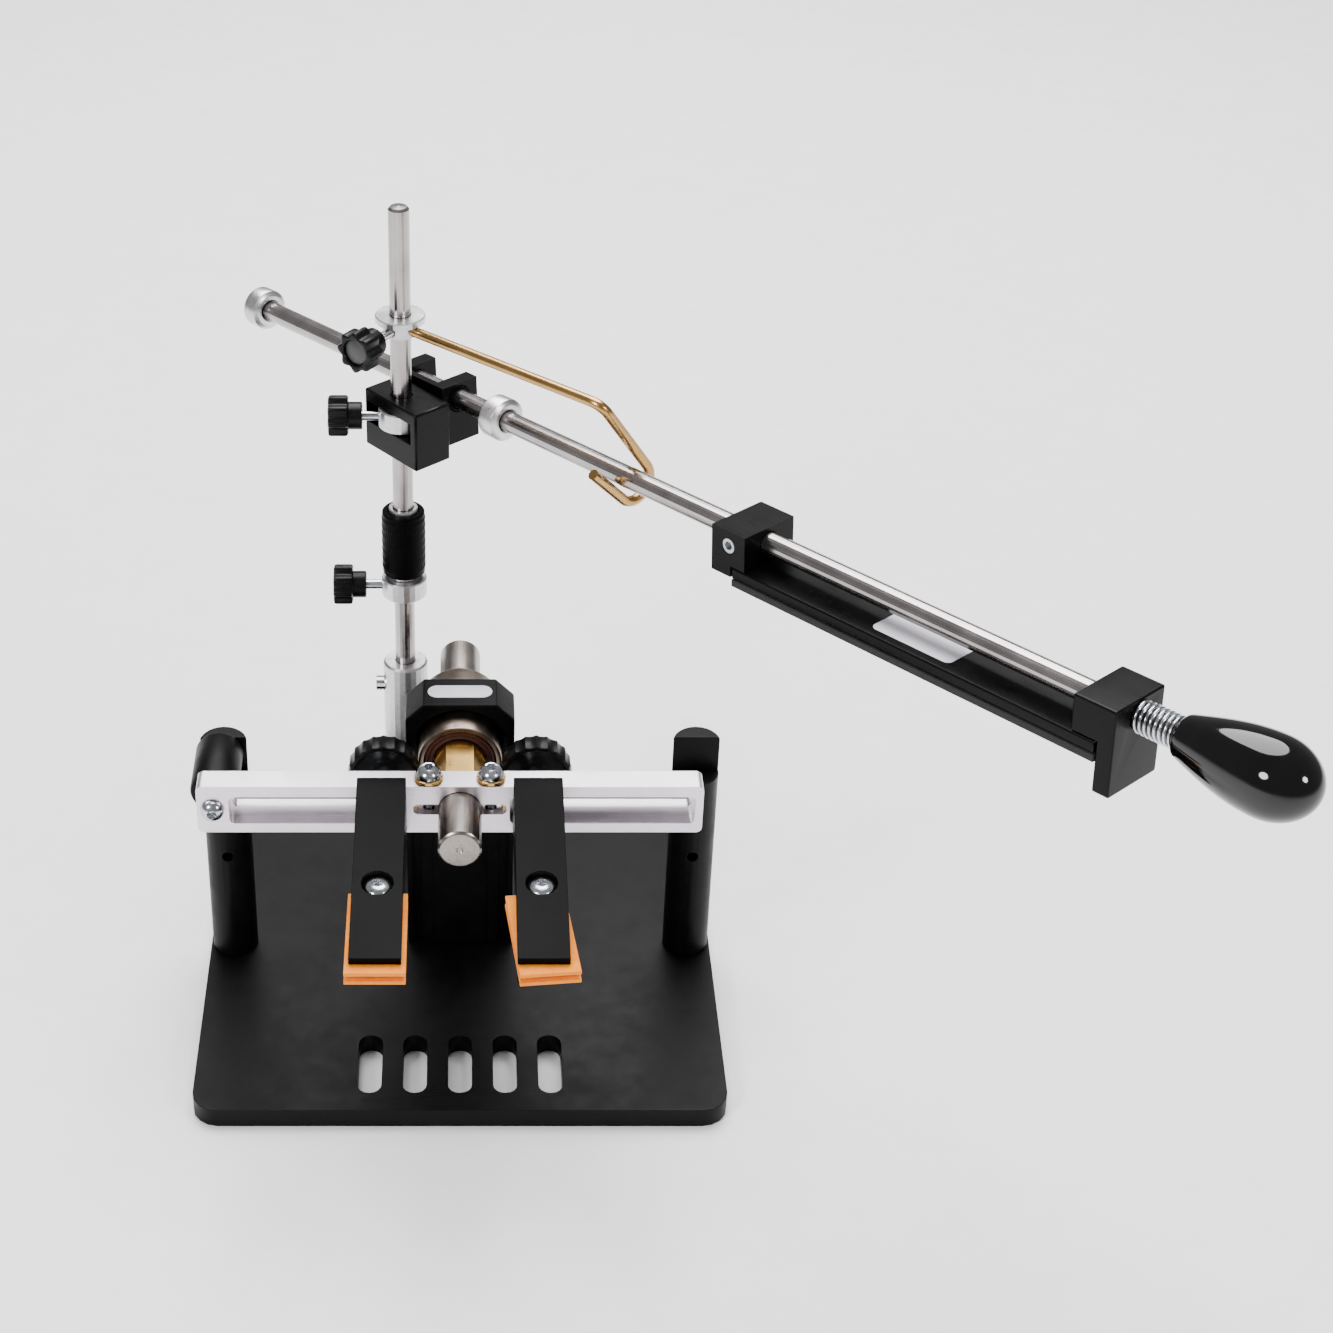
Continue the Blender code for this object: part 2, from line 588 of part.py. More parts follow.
heel_rear = BAR_FRONT - GAP
heel_front = heel_rear - JAW_HEEL_LENGTH
slope_start = heel_rear - JAW_TOP_FLAT
half_jaw = JAW_WIDTH / 2
upper_outline = [(heel_rear, BAR_BOTTOM), (heel_rear, JAW_TOP), (slope_start, JAW_TOP), (JAW_TIP, JAW_TIP_TOP),
                 (JAW_TIP, JAW_TIP_UNDERSIDE), (JAW_SCREW_Y - 6, JAW_TIP_UNDERSIDE),
                 (JAW_SCREW_Y - 4, JAW_THROAT), (heel_front - 10, JAW_THROAT), (heel_front - 6, 1),
                 (heel_front, 1), (heel_front, BAR_BOTTOM)]
lower_rear = heel_front - 2 * GAP
lower_outline = [(lower_rear, -1), (heel_front - 6, -1), (heel_front - 10, -JAW_THROAT),
                 (JAW_SCREW_Y - 4, -JAW_THROAT), (JAW_SCREW_Y - 6, -JAW_TIP_UNDERSIDE),
                 (JAW_TIP, -JAW_TIP_UNDERSIDE), (JAW_TIP, -JAW_TIP_TOP), (lower_rear, BAR_BOTTOM)]
rocker_y = heel_front - 3.5
rocker_z = -4.5
top_at_screw = JAW_TOP - (slope_start - JAW_SCREW_Y) / (slope_start - JAW_TIP) * (JAW_TOP - JAW_TIP_TOP)
screw_seat = top_at_screw - JAW_SCREW_HEAD_HEIGHT
liner_rear = JAW_TIP - LINER_OVERHANG + LINER_LENGTH
liner_middle = liner_rear - LINER_LENGTH / 2
liner_hole = JAW_SCREW_RADIUS + 3 * GAP


def liner(low, high, skew):
    """A strip between jaw and blade, turned a little about its middle where it sits askew."""
    strip = slab((-LINER_WIDTH / 2, -LINER_LENGTH / 2, low), (LINER_WIDTH / 2, LINER_LENGTH / 2, high), 0.15)
    bmesh.ops.rotate(strip, verts=strip.verts, matrix=Matrix.Rotation(math.radians(skew), 3, "Z"))
    return moved(strip, 0, liner_middle)


for word, side, skew in (("left", -1, LEFT_LINER_SKEW), ("right", 1, RIGHT_LINER_SKEW)):
    jaw_axis = place(f"{word}_jaw_axis", x=side * JAW_X, parent=flip_axis)
    screw_axis = place(f"{word}_jaw_screw_axis", y=JAW_SCREW_Y, parent=jaw_axis)
    rocker = place(f"{word}_jaw_rocker", y=rocker_y, z=rocker_z, parent=jaw_axis)
    stud_hole = rod(STUD_RADIUS + GAP, heel_rear - STUD_IN_JAW - GAP, heel_rear + 1, "Y")
    screw_hole = turned([(0, 0), (JAW_SCREW_RADIUS + GAP, 0), (JAW_SCREW_RADIUS + GAP, screw_seat),
                         (JAW_SCREW_HEAD_RADIUS + 2 * GAP, screw_seat),
                         (JAW_SCREW_HEAD_RADIUS + 2 * GAP, JAW_TOP), (0, JAW_TOP)], steps=SMALL_STEPS)
    piece(f"{word}_upper_jaw", prism(upper_outline, -half_jaw, half_jaw, "X"), black_anodised, jaw_axis,
          cuts=(stud_hole, moved(screw_hole, 0, JAW_SCREW_Y)))
    piece(f"{word}_upper_liner", liner(BLADE_SPACE / 2, BLADE_SPACE / 2 + LINER_THICKNESS, skew),
          liner_leather, jaw_axis, cuts=(moved(rod(liner_hole, 0, JAW_THROAT), 0, JAW_SCREW_Y),))
    lower_hole = moved(rod(JAW_SCREW_RADIUS + 2.5 * GAP, BAR_BOTTOM, 0), 0, JAW_SCREW_Y)
    lower_parts = (prism(lower_outline, -half_jaw, half_jaw, "X"), lower_hole,
                   liner(-BLADE_SPACE / 2 - LINER_THICKNESS, -BLADE_SPACE / 2, skew),
                   moved(rod(liner_hole, -JAW_THROAT, 0), 0, JAW_SCREW_Y))
    lower_jaw, lower_hole, lower_liner, lower_liner_hole = [moved(shape, 0, -rocker_y, -rocker_z)
                                                            for shape in lower_parts]
    piece(f"{word}_lower_jaw", lower_jaw, black_anodised, rocker, cuts=(lower_hole,))
    piece(f"{word}_lower_liner", lower_liner, liner_leather, rocker, cuts=(lower_liner_hole,))
    head_bottom = screw_seat + GAP
    head_top = head_bottom + JAW_SCREW_HEAD_HEIGHT
    screw = turned([(0, -7.5), (JAW_SCREW_RADIUS, -7.5), (JAW_SCREW_RADIUS, head_bottom),
                    (JAW_SCREW_HEAD_RADIUS, head_bottom), (JAW_SCREW_HEAD_RADIUS, head_top - 0.8),
                    (JAW_SCREW_HEAD_RADIUS - 0.8, head_top), (0, head_top)], steps=SMALL_STEPS)
    piece(f"{word}_jaw_screw", screw, zinc, screw_axis, cuts=(prism(polygon(4.6), head_top - 1.6, head_top + 1),))
    knob_rear = BEARING_FRONT - GAP
    knob_front = knob_rear - KNOB_THICKNESS
    cup_floor = knob_front + KNOB_CUP_DEPTH
    knob = turned([(0, heel_rear - STUD_IN_JAW), (STUD_RADIUS, heel_rear - STUD_IN_JAW),
                   (STUD_RADIUS, BAR_REAR + GAP), (KNOB_BOSS_RADIUS, BAR_REAR + GAP),
                   (KNOB_BOSS_RADIUS, cup_floor), (KNOB_CUP_RADIUS, cup_floor), (KNOB_CUP_RADIUS, knob_front),
                   (KNOB_RADIUS, knob_front), (KNOB_RADIUS, knob_rear - 1), (KNOB_RADIUS - 1, knob_rear),
                   (0, knob_rear)], "Y", KNOB_RIBS * 3)
    piece(f"{word}_lock_knob", fluted(knob, KNOB_CUP_RADIUS + 1, KNOB_RIBS, 0.8, "Y"), black_plastic, jaw_axis)


# Column with its socket

column_axis = place("column_axis", COLUMN_X, COLUMN_Y)
rod_hole = COLUMN_RADIUS + GAP
socket_floor = BASE_TOP + 12
piece("column_socket", turned([(0, BASE_TOP), (SOCKET_RADIUS, BASE_TOP), (SOCKET_RADIUS, SOCKET_TOP - 0.8),
                               (SOCKET_RADIUS - 0.8, SOCKET_TOP), (0, SOCKET_TOP)]), aluminium, column_axis,
      cuts=(rod(rod_hole, socket_floor, SOCKET_TOP + 1),
            moved(rod(SOCKET_SCREW_RADIUS + GAP, -SOCKET_RADIUS - 1, -rod_hole + 0.5, "X"), 0, 0, SOCKET_SCREW_HEIGHT)))
piece("socket_set_screw", moved(rod(SOCKET_SCREW_RADIUS, -SOCKET_RADIUS - 3.1, -rod_hole, "X"), 0, 0,
                                SOCKET_SCREW_HEIGHT), zinc, column_axis)
piece("column_rod", turned([(0, socket_floor + GAP), (COLUMN_RADIUS, socket_floor + GAP),
                            (COLUMN_RADIUS, COLUMN_TOP - 1.2), (COLUMN_RADIUS * 0.8, COLUMN_TOP - 0.3),
                            (0, COLUMN_TOP)], steps=24), steel, column_axis)


def stem_hole(height):
    return moved(rod(STEM_RADIUS + GAP, -COLLAR_RADIUS - 1, -COLUMN_RADIUS + 0.5, "X"), 0, 0, height)


def thumbscrew():
    """A stem with a lobed plastic head, pointing along -X from the column's axis."""
    screw = turned([(0, -THUMB_HEAD_END + 1.2), (5.2, -THUMB_HEAD_END + 1.2), (5.6, -THUMB_HEAD_END),
                    (THUMB_HEAD_RADIUS - 0.8, -THUMB_HEAD_END), (THUMB_HEAD_RADIUS, -THUMB_HEAD_END + 0.8),
                    (THUMB_HEAD_RADIUS, -THUMB_HUB_END - 0.6), (THUMB_HEAD_RADIUS - 0.6, -THUMB_HUB_END),
                    (THUMB_HUB_RADIUS, -THUMB_HUB_END), (THUMB_HUB_RADIUS, -STEM_END), (STEM_RADIUS, -STEM_END),
                    (STEM_RADIUS, -rod_hole), (0, -rod_hole)], "X", THUMB_LOBES * 3)
    return fluted(screw, 6.0, THUMB_LOBES, 1.3, "X")


def column_collar(bottom):
    return ring(rod_hole, COLLAR_RADIUS, bottom, bottom + COLLAR_HEIGHT, 0.5)


lower_screw_height = LOWER_COLLAR_BOTTOM + COLLAR_HEIGHT / 2
lower_screw_axis = place("lower_screw_axis", z=lower_screw_height, parent=column_axis)
piece("lower_collar", column_collar(LOWER_COLLAR_BOTTOM), aluminium, column_axis,
      cuts=(stem_hole(lower_screw_height),))
piece("lower_thumbscrew", thumbscrew(), black_plastic, lower_screw_axis)
nut_bottom = LOWER_COLLAR_BOTTOM + COLLAR_HEIGHT + 2.5
nut_top = nut_bottom + NUT_HEIGHT
piece("adjuster_sleeve", ring(rod_hole, SLEEVE_RING_RADIUS, LOWER_COLLAR_BOTTOM + COLLAR_HEIGHT + GAP,
                              nut_top + 1.5, 0.3, steps=24), aluminium, column_axis)
nut_bore = SLEEVE_RING_RADIUS + GAP
piece("adjuster_nut", turned([(nut_bore, nut_bottom), (NUT_RADIUS - 1.4, nut_bottom),
                              (NUT_RADIUS, nut_bottom + NUT_TAPER), (NUT_RADIUS, nut_top - 0.6),
                              (NUT_RADIUS - 0.6, nut_top), (nut_bore, nut_top)]), black_anodised, column_axis)


# Pivot block and the collar in its pocket

block_screw_height = BLOCK_COLLAR_BOTTOM + COLLAR_HEIGHT / 2
block_screw_axis = place("block_screw_axis", z=block_screw_height, parent=column_axis)
piece("block_collar", column_collar(BLOCK_COLLAR_BOTTOM), aluminium, column_axis,
      cuts=(stem_hole(block_screw_height),))
piece("block_thumbscrew", thumbscrew(), black_plastic, block_screw_axis)

block_turn = Matrix.Rotation(math.radians(BLOCK_AZIMUTH), 3, "Z")
block_axis = place("block_axis", parent=column_axis, turn=block_turn)
pocket_low = BLOCK_COLLAR_BOTTOM - GAP
pocket_high = BLOCK_COLLAR_BOTTOM + COLLAR_HEIGHT + GAP
pivot_x = -PIVOT_DROP * math.sin(math.radians(ARM_RISE))
pivot_height = ARM_HEIGHT + PIVOT_DROP * math.cos(math.radians(ARM_RISE))
pivot_hole = rod(PIVOT_SCREW_RADIUS + GAP, rod_hole + 0.4, BLOCK_FAR + 1, "Y")
pocket = slab((POCKET_BEHIND, BLOCK_NEAR - 1, pocket_low), (POCKET_AHEAD, 0.5, pocket_high))
piece("pivot_block", slab((BLOCK_BEHIND, BLOCK_NEAR, BLOCK_BOTTOM), (BLOCK_AHEAD, BLOCK_FAR, BLOCK_TOP), 0.7),
      black_anodised, block_axis,
      cuts=(rod(rod_hole, BLOCK_BOTTOM - 1, BLOCK_TOP + 1), pocket,
            rod(COLLAR_RADIUS + GAP, pocket_low, pocket_high, steps=ROUND_STEPS),
            moved(pivot_hole, pivot_x, 0, pivot_height)))


# Arm frame: X runs out along the guide rod, Y to its far side, Z up across it

rise = Matrix.Rotation(math.radians(-ARM_RISE), 3, "Y")
arm = place("arm_frame", y=ARM_OFFSET, z=ARM_HEIGHT, parent=block_axis, turn=rise)
yoke_axis = place("yoke_axis", z=PIVOT_DROP, parent=arm)
yoke_near = BLOCK_FAR + GAP - ARM_OFFSET
plate_far = yoke_near + YOKE_PLATE
yoke_outline = [(YOKE_START, yoke_near), (YOKE_END, yoke_near), (YOKE_END, YOKE_FAR),
                (YOKE_END - YOKE_EAR, YOKE_FAR), (YOKE_END - YOKE_EAR, plate_far),
                (YOKE_START + YOKE_EAR, plate_far), (YOKE_START + YOKE_EAR, YOKE_FAR), (YOKE_START, YOKE_FAR)]
yoke_shape = moved(prism(yoke_outline, YOKE_BOTTOM, YOKE_TOP), 0, 0, -PIVOT_DROP)
front_bore = moved(rod(YOKE_BUSH_RADIUS + GAP, 0, YOKE_END + 1, "X"), 0, 0, -PIVOT_DROP)
rear_bore = moved(rod(ROD_RADIUS + GAP, YOKE_START - 1, 0, "X"), 0, 0, -PIVOT_DROP)
piece("yoke", yoke_shape, black_anodised, yoke_axis,
      cuts=(front_bore, rear_bore, rod(PIVOT_SCREW_RADIUS + GAP, yoke_near - 1, plate_far + 1, "Y")))
head_far = plate_far + GAP + 2.4
pivot_end = rod_hole + 0.6 - ARM_OFFSET
piece("pivot_screw", turned([(0, pivot_end), (PIVOT_SCREW_RADIUS, pivot_end), (PIVOT_SCREW_RADIUS, plate_far + GAP),
                             (3.6, plate_far + GAP), (3.6, head_far), (0, head_far)], "Y", SMALL_STEPS),
      zinc, yoke_axis)
piece("yoke_bush", ring(ROD_RADIUS + GAP, YOKE_BUSH_RADIUS, YOKE_END - YOKE_EAR - 0.2, YOKE_END + 0.2, 0.1,
                        "X", SMALL_STEPS), black_anodised, arm)


def rod_collar(start):
    return ring(ROD_RADIUS + GAP, ROD_COLLAR_RADIUS, start, start + ROD_COLLAR_LENGTH, 1.0, "X")


piece("guide_rod", turned([(0, ROD_START), (ROD_RADIUS - 0.5, ROD_START), (ROD_RADIUS, ROD_START + 0.5),
                           (ROD_RADIUS, ROD_END - 0.5), (ROD_RADIUS - 0.5, ROD_END), (0, ROD_END)], "X", 24),
      steel, arm)
piece("end_collar", rod_collar(END_COLLAR_START), aluminium, arm)
piece("stop_collar", rod_collar(STOP_COLLAR_START), aluminium, arm)


# Stone holder

block_underside = BLANK_TOP + GAP
bore = ROD_RADIUS + GAP
near, far = HOLDER_NEAR, HOLDER_FAR
front_outline = [(HOLDER_TOP, FRONT_BLOCK_START), (HOLDER_TOP, FRONT_BLOCK_END),
                 (block_underside, FRONT_BLOCK_END), (block_underside, BLANK_START - GAP),
                 (block_underside - BLOCK_LIP, BLANK_START - GAP), (block_underside - BLOCK_LIP, FRONT_BLOCK_START)]
screw_x = (FRONT_BLOCK_START + FRONT_BLOCK_END) / 2
set_screw_hole = moved(rod(HOLDER_SCREW_RADIUS + GAP, near - 1, -ROD_RADIUS + 1, "Y"), screw_x)
piece("front_stone_block", prism(front_outline, near, far, "Y"), black_anodised, arm,
      cuts=(rod(bore, FRONT_BLOCK_START - 1, FRONT_BLOCK_END + 1, "X"), set_screw_hole))
piece("holder_set_screw", moved(rod(HOLDER_SCREW_RADIUS, near + 0.2, -ROD_RADIUS - GAP, "Y"), screw_x), zinc, arm,
      cuts=(moved(prism(polygon(3.0), near - 1, near + 2.2, "Y"), screw_x),))
blank_end = BLANK_START + BLANK_LENGTH
blank_bottom = BLANK_TOP - BLANK_THICKNESS
piece("stone_blank", slab((BLANK_START, near, blank_bottom), (blank_end, far, BLANK_TOP), 0.4),
      black_anodised, arm)
abrasive_top = blank_bottom - GAP
piece("abrasive_strip", slab((BLANK_START, near, abrasive_top - ABRASIVE_THICKNESS), (blank_end, far, abrasive_top),
                             0.3), abrasive_black, arm)
rear_end = REAR_BLOCK_START + REAR_BLOCK_LENGTH
rear_outline = [(HOLDER_TOP, REAR_BLOCK_START), (HOLDER_TOP, rear_end), (REAR_LEG_BOTTOM, rear_end),
                (REAR_LEG_BOTTOM, blank_end + GAP), (block_underside, blank_end + GAP),
                (block_underside, REAR_BLOCK_START)]
piece("rear_stone_block", prism(rear_outline, near, far, "Y"), black_anodised, arm,
      cuts=(rod(bore, REAR_BLOCK_START - 1, rear_end + 1, "X"),))

spring_start = rear_end + GAP + SPRING_WIRE_RADIUS
spring_length = HANDLE_START - GAP - SPRING_WIRE_RADIUS - spring_start
spring_points = []
for step in range(SPRING_TURNS * SPRING_STEPS + 1):
    angle = 2 * math.pi * step / SPRING_STEPS
    along = spring_start + spring_length * step / (SPRING_TURNS * SPRING_STEPS)
    spring_points.append(Vector((along, SPRING_RADIUS * math.cos(angle), SPRING_RADIUS * math.sin(angle))))
piece("holder_spring", tube(spring_points, SPRING_WIRE_RADIUS, 5, section_frames(spring_points)), zinc, arm)

handle_profile = [(0, HANDLE_START), (HANDLE_NECK_RADIUS - 0.5, HANDLE_START)]
for step in range(7):
    share = step / 6
    radius = HANDLE_NECK_RADIUS + (HANDLE_RADIUS - HANDLE_NECK_RADIUS) * math.sin(share * math.pi / 2)
    handle_profile.append((radius, HANDLE_START + 0.8 + (HANDLE_SWELL - 0.8) * share))
for step in range(1, 6):
    angle = step / 6 * math.pi / 2
    handle_profile.append((HANDLE_RADIUS * math.cos(angle),
                           HANDLE_START + HANDLE_SWELL + (HANDLE_LENGTH - HANDLE_SWELL) * math.sin(angle)))
handle_profile.append((0, HANDLE_START + HANDLE_LENGTH))
piece("handle", turned(handle_profile, "X"), gloss_black, arm,
      cuts=(rod(bore, HANDLE_START - 1, ROD_END + GAP, "X"),))


# Hook that parks the arm: a straight leg from its collar, then an open eye across the guide rod

hub_top = HOOK_COLLAR_BOTTOM + HOOK_HUB_HEIGHT
flange_top = hub_top + HOOK_FLANGE_HEIGHT
screw_turn = Matrix.Rotation(math.radians(HOOK_SCREW_AZIMUTH - 180), 3, "Z")
hook_axis = place("hook_axis", parent=column_axis)
hook_screw_axis = place("hook_screw_axis", z=HOOK_SCREW_HEIGHT, parent=hook_axis, turn=screw_turn)
hook_stem_hole = stem_hole(HOOK_SCREW_HEIGHT)
bmesh.ops.rotate(hook_stem_hole, verts=hook_stem_hole.verts, matrix=screw_turn)
piece("hook_collar", turned([(rod_hole, HOOK_COLLAR_BOTTOM), (HOOK_HUB_RADIUS, HOOK_COLLAR_BOTTOM),
                             (HOOK_HUB_RADIUS, hub_top), (HOOK_FLANGE_RADIUS, hub_top),
                             (HOOK_FLANGE_RADIUS, flange_top - 0.3), (HOOK_FLANGE_RADIUS - 0.3, flange_top),
                             (rod_hole, flange_top)]), aluminium, hook_axis, cuts=(hook_stem_hole,))
piece("hook_thumbscrew", thumbscrew(), black_plastic, hook_screw_axis)


def touching_angle(point, side):
    """The angle on the eye's circle where a straight wire from the point runs into it."""
    away = Vector(point) - Vector(HOOK_EYE_CENTRE)
    return math.atan2(away.y, away.x) + side * math.acos(HOOK_EYE_RADIUS / away.length)


start_angle = touching_angle(HOOK_BEND, -1)
end_angle = touching_angle(HOOK_TIP, 1)
if end_angle > start_angle:
    end_angle -= 2 * math.pi
eye_points = []
for step in range(HOOK_EYE_STEPS + 1):
    angle = start_angle + (end_angle - start_angle) * step / HOOK_EYE_STEPS
    eye_points.append((HOOK_REACH, HOOK_EYE_CENTRE[0] + HOOK_EYE_RADIUS * math.cos(angle),
                       HOOK_EYE_CENTRE[1] + HOOK_EYE_RADIUS * math.sin(angle)))
arm_points = [(HOOK_REACH, *HOOK_BEND)] + eye_points + [(HOOK_REACH, *HOOK_TIP)]
block_points = [rise @ Vector(point) + Vector((0, ARM_OFFSET, ARM_HEIGHT)) for point in arm_points]
wire_height = hub_top - HOOK_RADIUS - GAP
toward_bend = math.atan2(block_points[0].y, block_points[0].x)
wire_start = HOOK_HUB_RADIUS + GAP
wire_root = Vector((wire_start * math.cos(toward_bend), wire_start * math.sin(toward_bend), wire_height))
block_points.insert(0, wire_root)
leg = rounded_path(block_points[:3], HOOK_BEND_RADIUS)
hook_points = [block_turn @ point for point in leg[:-1] + block_points[2:]]
piece("hook_wire", tube(hook_points, HOOK_RADIUS, 10, section_frames(hook_points)), brass, hook_axis)
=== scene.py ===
"""Finished looks of the guided sharpening jig: machined, anodised, plated and moulded surfaces.

New pieces are shaped in millimetres, and become metres as they are added. +X is right, +Y is back, +Z is up.
"""

import json
import math

import bmesh
import bpy
from mathutils import Matrix, Vector

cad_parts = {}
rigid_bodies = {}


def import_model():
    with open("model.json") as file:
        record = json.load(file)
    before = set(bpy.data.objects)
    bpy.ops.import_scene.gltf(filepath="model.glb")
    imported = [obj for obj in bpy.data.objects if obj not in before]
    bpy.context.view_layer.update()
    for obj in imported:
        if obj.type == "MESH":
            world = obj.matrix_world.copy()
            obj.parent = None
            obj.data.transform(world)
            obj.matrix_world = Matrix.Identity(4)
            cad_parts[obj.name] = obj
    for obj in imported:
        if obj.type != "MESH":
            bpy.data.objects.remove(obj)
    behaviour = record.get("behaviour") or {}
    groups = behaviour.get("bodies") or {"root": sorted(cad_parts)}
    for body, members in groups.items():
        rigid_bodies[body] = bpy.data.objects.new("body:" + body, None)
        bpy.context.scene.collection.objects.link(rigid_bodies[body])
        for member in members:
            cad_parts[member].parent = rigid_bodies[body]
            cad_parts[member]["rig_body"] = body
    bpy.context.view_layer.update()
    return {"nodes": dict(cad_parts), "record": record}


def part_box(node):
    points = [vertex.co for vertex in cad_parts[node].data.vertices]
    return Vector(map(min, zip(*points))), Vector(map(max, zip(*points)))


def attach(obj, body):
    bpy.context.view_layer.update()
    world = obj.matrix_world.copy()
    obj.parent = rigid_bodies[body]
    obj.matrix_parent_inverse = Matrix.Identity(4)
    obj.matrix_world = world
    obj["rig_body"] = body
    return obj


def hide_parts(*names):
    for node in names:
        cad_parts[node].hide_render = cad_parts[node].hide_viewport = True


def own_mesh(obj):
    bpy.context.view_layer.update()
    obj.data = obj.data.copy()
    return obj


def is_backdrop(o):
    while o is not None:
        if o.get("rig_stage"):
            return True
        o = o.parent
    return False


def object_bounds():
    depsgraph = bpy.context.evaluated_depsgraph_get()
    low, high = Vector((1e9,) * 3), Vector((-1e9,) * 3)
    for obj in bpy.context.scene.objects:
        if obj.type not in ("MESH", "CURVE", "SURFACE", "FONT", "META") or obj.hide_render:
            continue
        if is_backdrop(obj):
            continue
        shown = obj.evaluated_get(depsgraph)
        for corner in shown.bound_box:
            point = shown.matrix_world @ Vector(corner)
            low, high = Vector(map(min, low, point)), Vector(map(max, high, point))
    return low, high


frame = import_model()
MM = 0.001
nodes = frame["nodes"]
slot_of = {row["node"]: row["material_slot"] for row in frame["record"]["subparts"]}

# Camera
camera_data = bpy.data.cameras.new("camera")
camera_data.lens = 67.35
camera_data.sensor_width = 36.0
camera_data.shift_x = 0.1513
camera = bpy.data.objects.new("camera", camera_data)
camera.location = (0.00183, -0.77912, 0.65555)
camera.rotation_euler = (math.radians(56.46), 0.0, 0.0)
bpy.context.scene.collection.objects.link(camera)
bpy.context.scene.camera = camera


# Materials

BLOTCH_MM = 14.0                   # size of the broad variation
NOISE_LOW, NOISE_HIGH = 0.7, 1.3   # the two noises together mostly lie between these


def linear(hex_colour):
    """An sRGB hex colour as linear red, green, blue and alpha."""
    parts = [int(hex_colour[at:at + 2], 16) / 255 for at in (1, 3, 5)]
    return [part / 12.92 if part <= 0.04045 else ((part + 0.055) / 1.055) ** 2.4 for part in parts] + [1.0]


def add_node(tree, kind, values=(), links=(), **settings):
    """Add a node, set its settings and socket values, and feed its inputs from other nodes' outputs."""
    node = tree.nodes.new(kind)
    for name, value in settings.items():
        setattr(node, name, value)
    for socket, value in values:
        node.inputs[socket].default_value = value
    for socket, source in links:
        tree.links.new(source, node.inputs[socket])
    return node


def surface(name, dark, light, metallic, rough, grain_mm, relief_mm=0.0, relief_grain_mm=(1, 1, 1),
            turn=(0, 0, 0), sheen_level=0.5):
    """A material whose grain runs along the piece's own axes, with broad variation and a fine relief."""
    made = bpy.data.materials.new(name)
    made.use_nodes = True
    tree = made.node_tree
    shader = tree.nodes["Principled BSDF"]
    shader.inputs["Metallic"].default_value = metallic
    shader.inputs["Specular IOR Level"].default_value = sheen_level
    place = add_node(tree, "ShaderNodeTexCoord").outputs["Object"]
    grain_at = add_node(tree, "ShaderNodeMapping",
                        [("Scale", [size * MM for size in grain_mm]), ("Rotation", turn)],
                        [("Vector", place)], vector_type="TEXTURE").outputs[0]
    grain = add_node(tree, "ShaderNodeTexNoise", [("Scale", 1.0), ("Detail", 4.0), ("Roughness", 0.6)],
                     [("Vector", grain_at)]).outputs["Fac"]
    blotch = add_node(tree, "ShaderNodeTexNoise", [("Scale", 1 / (BLOTCH_MM * MM)), ("Detail", 2.0)],
                      [("Vector", place)]).outputs["Fac"]
    both = add_node(tree, "ShaderNodeMath", links=[(0, grain), (1, blotch)], operation="ADD").outputs[0]
    noise_span = [("From Min", NOISE_LOW), ("From Max", NOISE_HIGH)]
    share = add_node(tree, "ShaderNodeMapRange", noise_span, [("Value", both)]).outputs[0]
    colour = add_node(tree, "ShaderNodeMix", [(6, linear(dark)), (7, linear(light))], [(0, share)],
                      data_type="RGBA").outputs[2]
    tree.links.new(colour, shader.inputs["Base Color"])
    gloss = add_node(tree, "ShaderNodeMapRange", noise_span + [("To Min", rough[0]), ("To Max", rough[1])],
                     [("Value", both)]).outputs[0]
    tree.links.new(gloss, shader.inputs["Roughness"])
    if relief_mm:
        relief_at = add_node(tree, "ShaderNodeMapping",
                             [("Scale", [size * MM for size in relief_grain_mm]), ("Rotation", turn)],
                             [("Vector", place)], vector_type="TEXTURE").outputs[0]
        relief = add_node(tree, "ShaderNodeTexNoise", [("Scale", 1.0), ("Detail", 3.0)],
                          [("Vector", relief_at)]).outputs["Fac"]
        bump = add_node(tree, "ShaderNodeBump", [("Strength", 0.6), ("Distance", relief_mm * MM)],
                        [("Height", relief)]).outputs[0]
        tree.links.new(bump, shader.inputs["Normal"])
    return made


ARM_AZIMUTH = math.radians(-50.0)
ARM_RISE = math.radians(3.6)
ARM_TURN = (0.0, -ARM_RISE, ARM_AZIMUTH)
# Powder coat: thick baked paint with a fine orange peel, drawn a little coarser than life so that it shows
powder_coat = surface("black powder coat", "#040404", "#080809", 0.0, (0.36, 0.5), (6, 6, 6),
                      0.03, (0.9, 0.9, 0.9), sheen_level=0.1)
# Black anodising over milled aluminium: even, slightly glossy, with faint cutter lines
anodised = surface("black anodised aluminium", "#040405", "#080809", 0.0, (0.34, 0.42), (9, 0.6, 0.6),
                   0.001, (6, 0.4, 0.4), sheen_level=0.03)
# The same on the pivot block and the stone holder, whose cutter lines run along the guide rod
anodised_arm = surface("black anodised aluminium of the holder", "#040405", "#080809", 0.0, (0.26, 0.34),
                       (12, 0.7, 0.7), 0.0015, (8, 0.5, 0.5), ARM_TURN, sheen_level=0.1)
# Moulded nylon: semi-matt with the faint grain of its mould
moulded = surface("black moulded nylon", "#060607", "#0b0b0c", 0.0, (0.28, 0.4), (3, 3, 3),
                  0.02, (0.6, 0.6, 0.6), sheen_level=0.15)
# Moulded cap: lighter and greyer than the thumbscrew it closes
cap_grey = surface("dark grey moulded cap", "#2a2a2c", "#3a3a3c", 0.0, (0.35, 0.5), (3, 3, 3))
# Phenolic handle: deep black, polished
phenolic = surface("polished black phenolic", "#030303", "#060606", 0.0, (0.05, 0.09), (8, 8, 8),
                   sheen_level=0.45)
